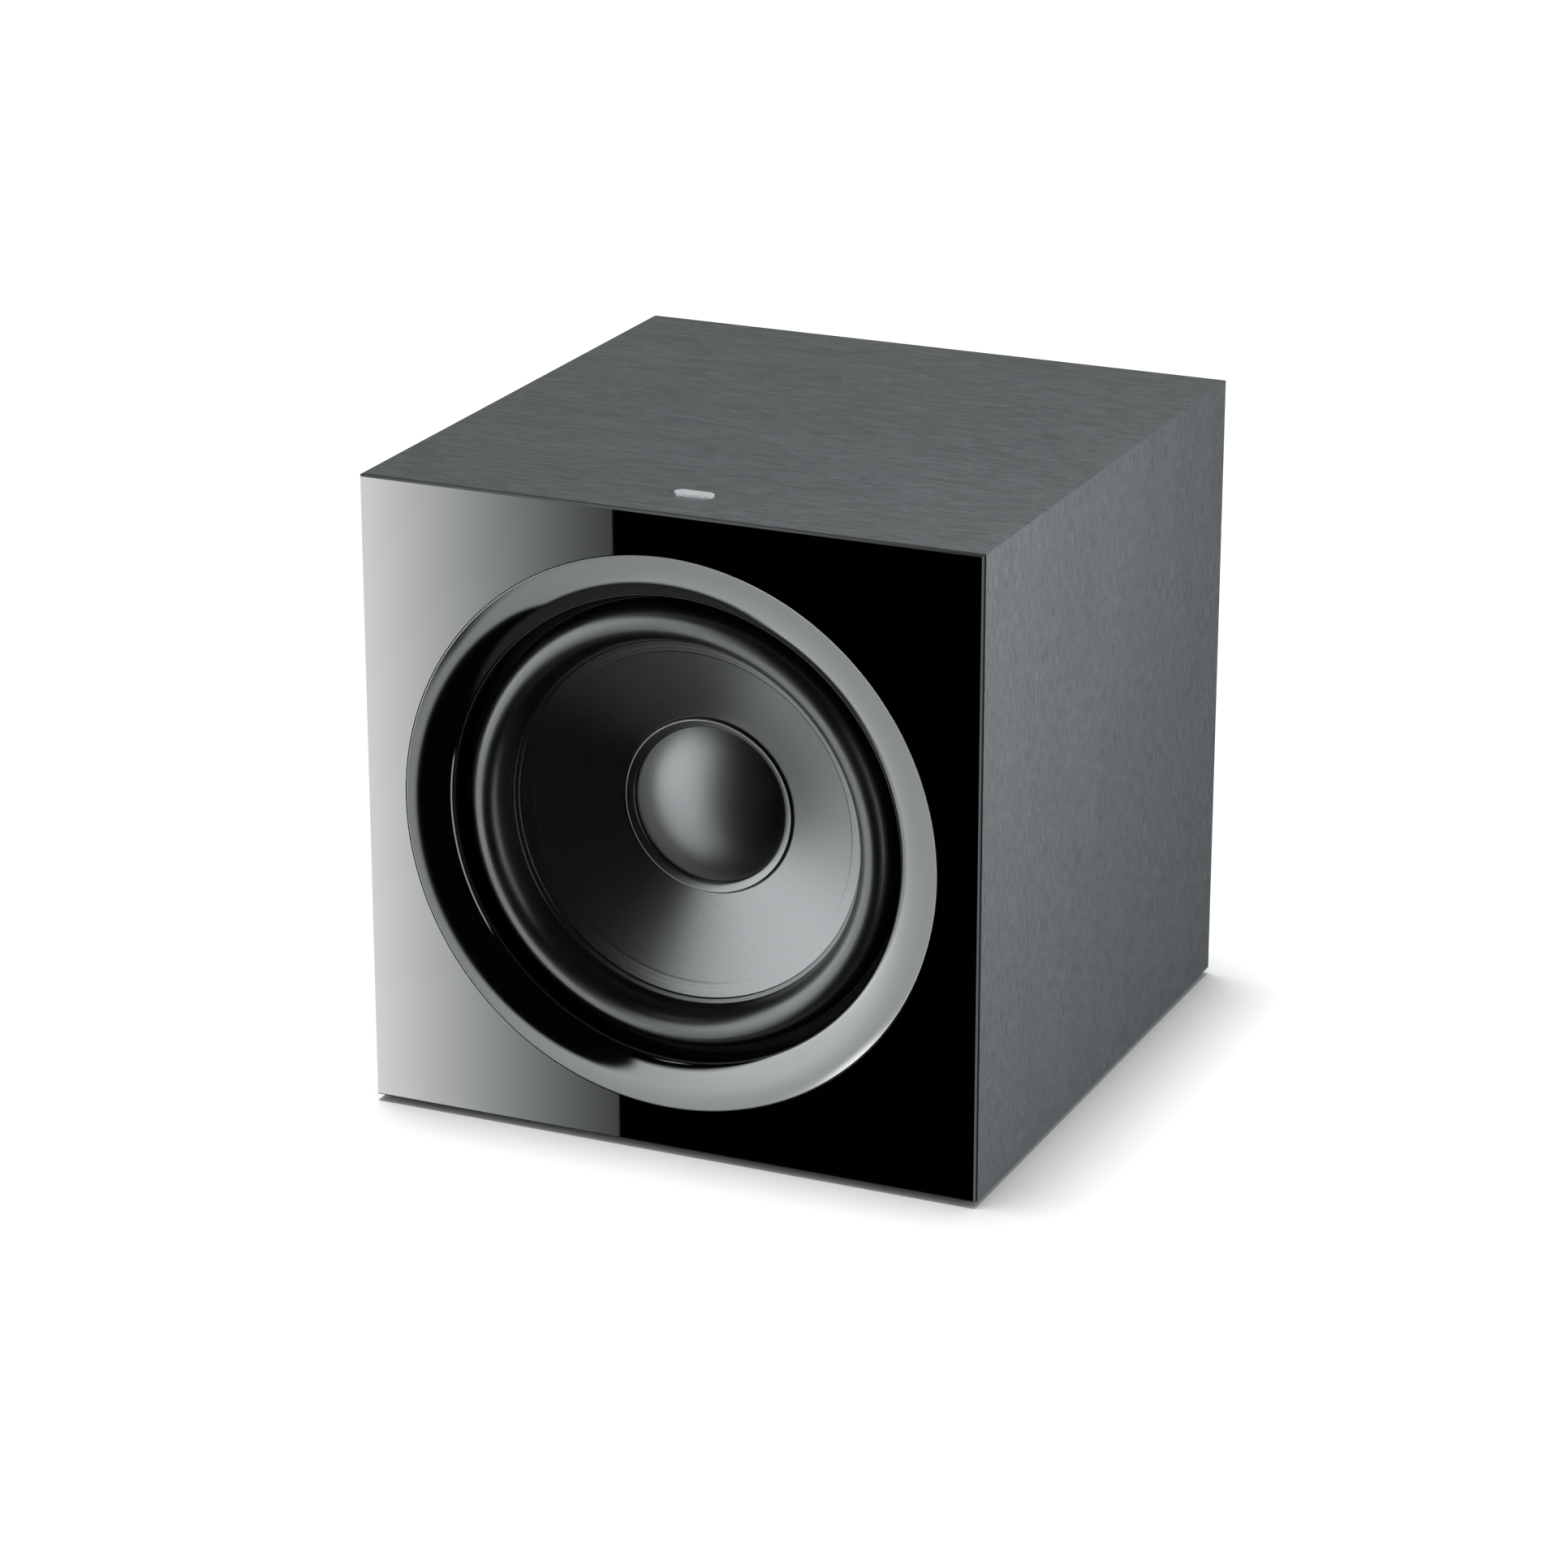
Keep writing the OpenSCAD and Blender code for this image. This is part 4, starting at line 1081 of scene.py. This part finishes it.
# Studio seen in reflections, as directions in degrees: azimuth 0 is straight out of the front, and
# negative azimuths are to its left. A change is (from, to, value at from, value at to). The panel leans left
# as it rises to level height, grows brighter upwards and dims towards the right.
PANEL_AZIMUTH = (-78.0, -13.6)
PANEL_ELEVATION = (-51.0, 33.0)
PANEL_LEAN = (-20.0, 0.0, 0.0, -3.8)
PANEL_RISE = (-26.0, 4.0, 4.2, 7.0)
PANEL_DIM = (-42.0, -12.0, 0.92, 0.68)
WING_AZIMUTH = (-104.0, -78.0)
WING_ELEVATION = (-35.0, 28.0)
WING_LEVEL = 2.2
FLOOR_AZIMUTH = (-95.0, 60.0)
FLOOR_FADE = (-58.0, -48.0, 0.2, 0.0)
BEHIND_AZIMUTHS = [(100.0, 200.0), (-200.0, -125.0)]
BEHIND_RISE = (-25.0, 5.0, 0.1, 0.3)

# Small cards that light the edges of the front panel: above, at the right and at the left. The right one
# also draws the thin streak in the ring's throat.
CARD_SOFTNESS = 2.0
EDGE_CARDS = [
    ((-60.0, -38.0), (56.0, 62.0), 3.6),
    ((58.0, 74.0), (-34.0, 26.0), 4.2),
    ((-123.0, -104.0), (-29.0, -11.0), 3.2),
]

# What the front panel mirrors towards the camera: a light that falls off evenly in the picture, then a flag.
# The tones are how light the front looks where the light starts and ends. It mirrors a small share of it.
FLAG_AZIMUTH = (-26.06, -18.4)
FLAG_ELEVATION = (-25.9, -15.1)
FALLOFF_AZIMUTH = -29.0
FALLOFF_TONES = (0.796, 0.255)
GAMMA = 2.2
FRONT_MIRRORS = 0.0251

# The light is cool, and plainer where the front is brightest
COOL_TINT = (0.93, 0.985, 1.0)
PLAIN_TINT = (0.985, 0.992, 1.0)
TINT_FADE = (-28.8, -27.0, 1.0, 0.0)
FILL_TINT = (0.97, 1.0, 1.0, 1.0)
FILL_LEVEL = 0.5
WHITE = (1.0, 1.0, 1.0, 1.0)


def band(g, value, edges, low_soft, high_soft):
    """1 between two edges and 0 outside them, with a soft change at each."""
    rise = g.ramp(value, edges[0] - low_soft, edges[0] + low_soft)
    fall = g.ramp(value, edges[1] - high_soft, edges[1] + high_soft, 1.0, 0.0)
    return g.times(rise, fall)


def studio_lamps(g, azimuth, elevation):
    """Levels of the panel, the dimmer wing beside it, the floor near the object and the cards."""
    lean = g.ramp(elevation, *PANEL_LEAN, smooth=False)
    columns = band(g, g.math("SUBTRACT", azimuth, lean), PANEL_AZIMUTH, 6.0, 1.5)
    panel = g.times(columns, band(g, elevation, PANEL_ELEVATION, 3.0, 5.0))
    panel = g.times(panel, g.times(g.ramp(elevation, *PANEL_RISE), g.ramp(azimuth, *PANEL_DIM)))
    wing = g.times(band(g, azimuth, WING_AZIMUTH, 4.0, 6.0), band(g, elevation, WING_ELEVATION, 6.0, 6.0))
    lit = g.plus(panel, g.times(wing, WING_LEVEL))
    near_floor = g.times(band(g, azimuth, FLOOR_AZIMUTH, 12.0, 12.0), g.ramp(elevation, *FLOOR_FADE))
    lit = g.plus(lit, near_floor)
    for azimuths, elevations, strength in EDGE_CARDS:
        columns = band(g, azimuth, azimuths, CARD_SOFTNESS, CARD_SOFTNESS)
        card = g.times(columns, band(g, elevation, elevations, CARD_SOFTNESS, CARD_SOFTNESS))
        lit = g.plus(lit, g.times(card, strength))
    return lit


def studio(g, azimuth, elevation):
    """Colour of the studio in a direction."""
    lit = studio_lamps(g, azimuth, elevation)
    flag_rows = band(g, elevation, FLAG_ELEVATION, 1.0, 1.0)
    columns = band(g, azimuth, (FALLOFF_AZIMUTH - 1.6, FLAG_AZIMUTH[0]), 1.3, 0.01)
    in_window = g.times(flag_rows, columns)
    tone = g.ramp(azimuth, FALLOFF_AZIMUTH, FLAG_AZIMUTH[0], *FALLOFF_TONES, smooth=False)
    falloff = g.math("DIVIDE", g.math("POWER", tone, GAMMA), FRONT_MIRRORS)
    lit = g.mix(in_window, lit, falloff)
    flag = g.times(flag_rows, band(g, azimuth, FLAG_AZIMUTH, 0.01, 0.4))
    lit = g.times(lit, g.math("SUBTRACT", 1.0, flag))
    behind = g.plus(*[band(g, azimuth, azimuths, 8.0, 8.0) for azimuths in BEHIND_AZIMUTHS])
    lit = g.plus(lit, g.times(behind, g.ramp(elevation, *BEHIND_RISE)))
    grey = g.vector(lit, lit, lit)
    left_of_window = g.times(in_window, g.ramp(azimuth, *TINT_FADE))
    return g.mix(left_of_window, g.scaled(grey, COOL_TINT), g.scaled(grey, PLAIN_TINT))


def studio_world():
    """White to the camera, an even fill to diffuse surfaces, and the studio to reflections."""
    world = bpy.data.worlds.new("studio")
    bpy.context.scene.world = world
    world.use_nodes = True
    world.node_tree.nodes.clear()
    g = Graph(world.node_tree)
    x, y, z = g.axes(g.node("ShaderNodeTexCoord").outputs["Generated"])
    to_degrees = 180 / math.pi
    azimuth = g.times(g.math("ARCTAN2", x, g.times(y, -1.0)), to_degrees)
    elevation = g.times(g.math("ARCSINE", z), to_degrees)
    colours = ((studio(g, azimuth, elevation), 1.0), (FILL_TINT, FILL_LEVEL), (WHITE, 1.0))
    reflections, fill, white = [
        g.node("ShaderNodeBackground", {"Color": colour, "Strength": strength}).outputs[0]
        for colour, strength in colours
    ]
    path = g.node("ShaderNodeLightPath")
    seen = fill
    for ray, shader in (("Is Glossy Ray", reflections), ("Is Camera Ray", white)):
        seen = g.node("ShaderNodeMixShader", {0: path.outputs[ray], 1: seen, 2: shader}).outputs[0]
    g.node("ShaderNodeOutputWorld", {"Surface": seen})


def aim(obj, direction):
    """Points a light or a camera in a direction."""
    obj.rotation_mode = "QUATERNION"
    obj.rotation_quaternion = direction.to_track_quat("-Z", "Y")


def overhead_sun():
    """Soft light from above and a little from the left."""
    data = bpy.data.lights.new("overhead", "SUN")
    data.energy = 2.7
    data.angle = math.radians(15)
    obj = new_object("overhead", data)
    aim(obj, Vector((0.065, 0.0, -1.0)).normalized())
    obj.visible_glossy = False


def flag_off(light, unlit_object):
    """Keeps a light off an object, as a studio flag does."""
    unlit = bpy.data.collections.new("flagged_off")
    unlit.objects.link(unlit_object)
    unlit.collection_objects[0].light_linking.link_state = "EXCLUDE"
    light.light_linking.receiver_collection = unlit


def softbox(name, watts, size, place, target, stage_floor):
    """A square soft lamp at a place, aimed at a target, unseen itself and flagged off the floor."""
    data = bpy.data.lights.new(name, "AREA")
    data.energy = watts
    data.size = size
    obj = new_object(name, data)
    obj.location = place
    aim(obj, target - obj.location)
    obj.visible_glossy = False
    obj.visible_camera = False
    flag_off(obj, stage_floor)


def camera():
    """Camera at the photograph's angle, aimed at a point beside the cabinet's middle."""
    azimuth = math.radians(24.05)
    elevation = math.radians(19.81)
    distance = 3.1691
    offset_right = 0.0135
    offset_up = 0.0312
    data = bpy.data.cameras.new("camera")
    data.sensor_width = 36.0
    data.lens = 117.5
    data.clip_start = 0.1
    data.clip_end = 60.0
    obj = new_object("camera", data)
    level = math.cos(elevation)
    back = Vector((math.sin(azimuth) * level, -math.cos(azimuth) * level, math.sin(elevation)))
    right = (-back).cross(Vector((0, 0, 1))).normalized()
    up = right.cross(-back)
    middle = Vector((0, (front_y + rear_y) / 2, axis_z))
    obj.location = middle + back * distance - right * offset_right - up * offset_up
    aim(obj, -back)
    bpy.context.scene.camera = obj


stage_floor = floor()
studio_world()
overhead_sun()

# One lamp high at the front right, so that the side darkens towards its back, and one behind for the controls
side_target = Vector((cabinet_high[0], 0, axis_z))
rear_target = Vector((0, rear_y, axis_z))
softbox("side_softbox", 13.0, 0.3, (0.8, -0.36, 0.56), side_target, stage_floor)
softbox("rear_softbox", 15.0, 0.6, (-0.5, 1.4, 0.45), rear_target, stage_floor)
camera()
bpy.context.scene.view_settings.view_transform = "Standard"

bpy.context.view_layer.update()
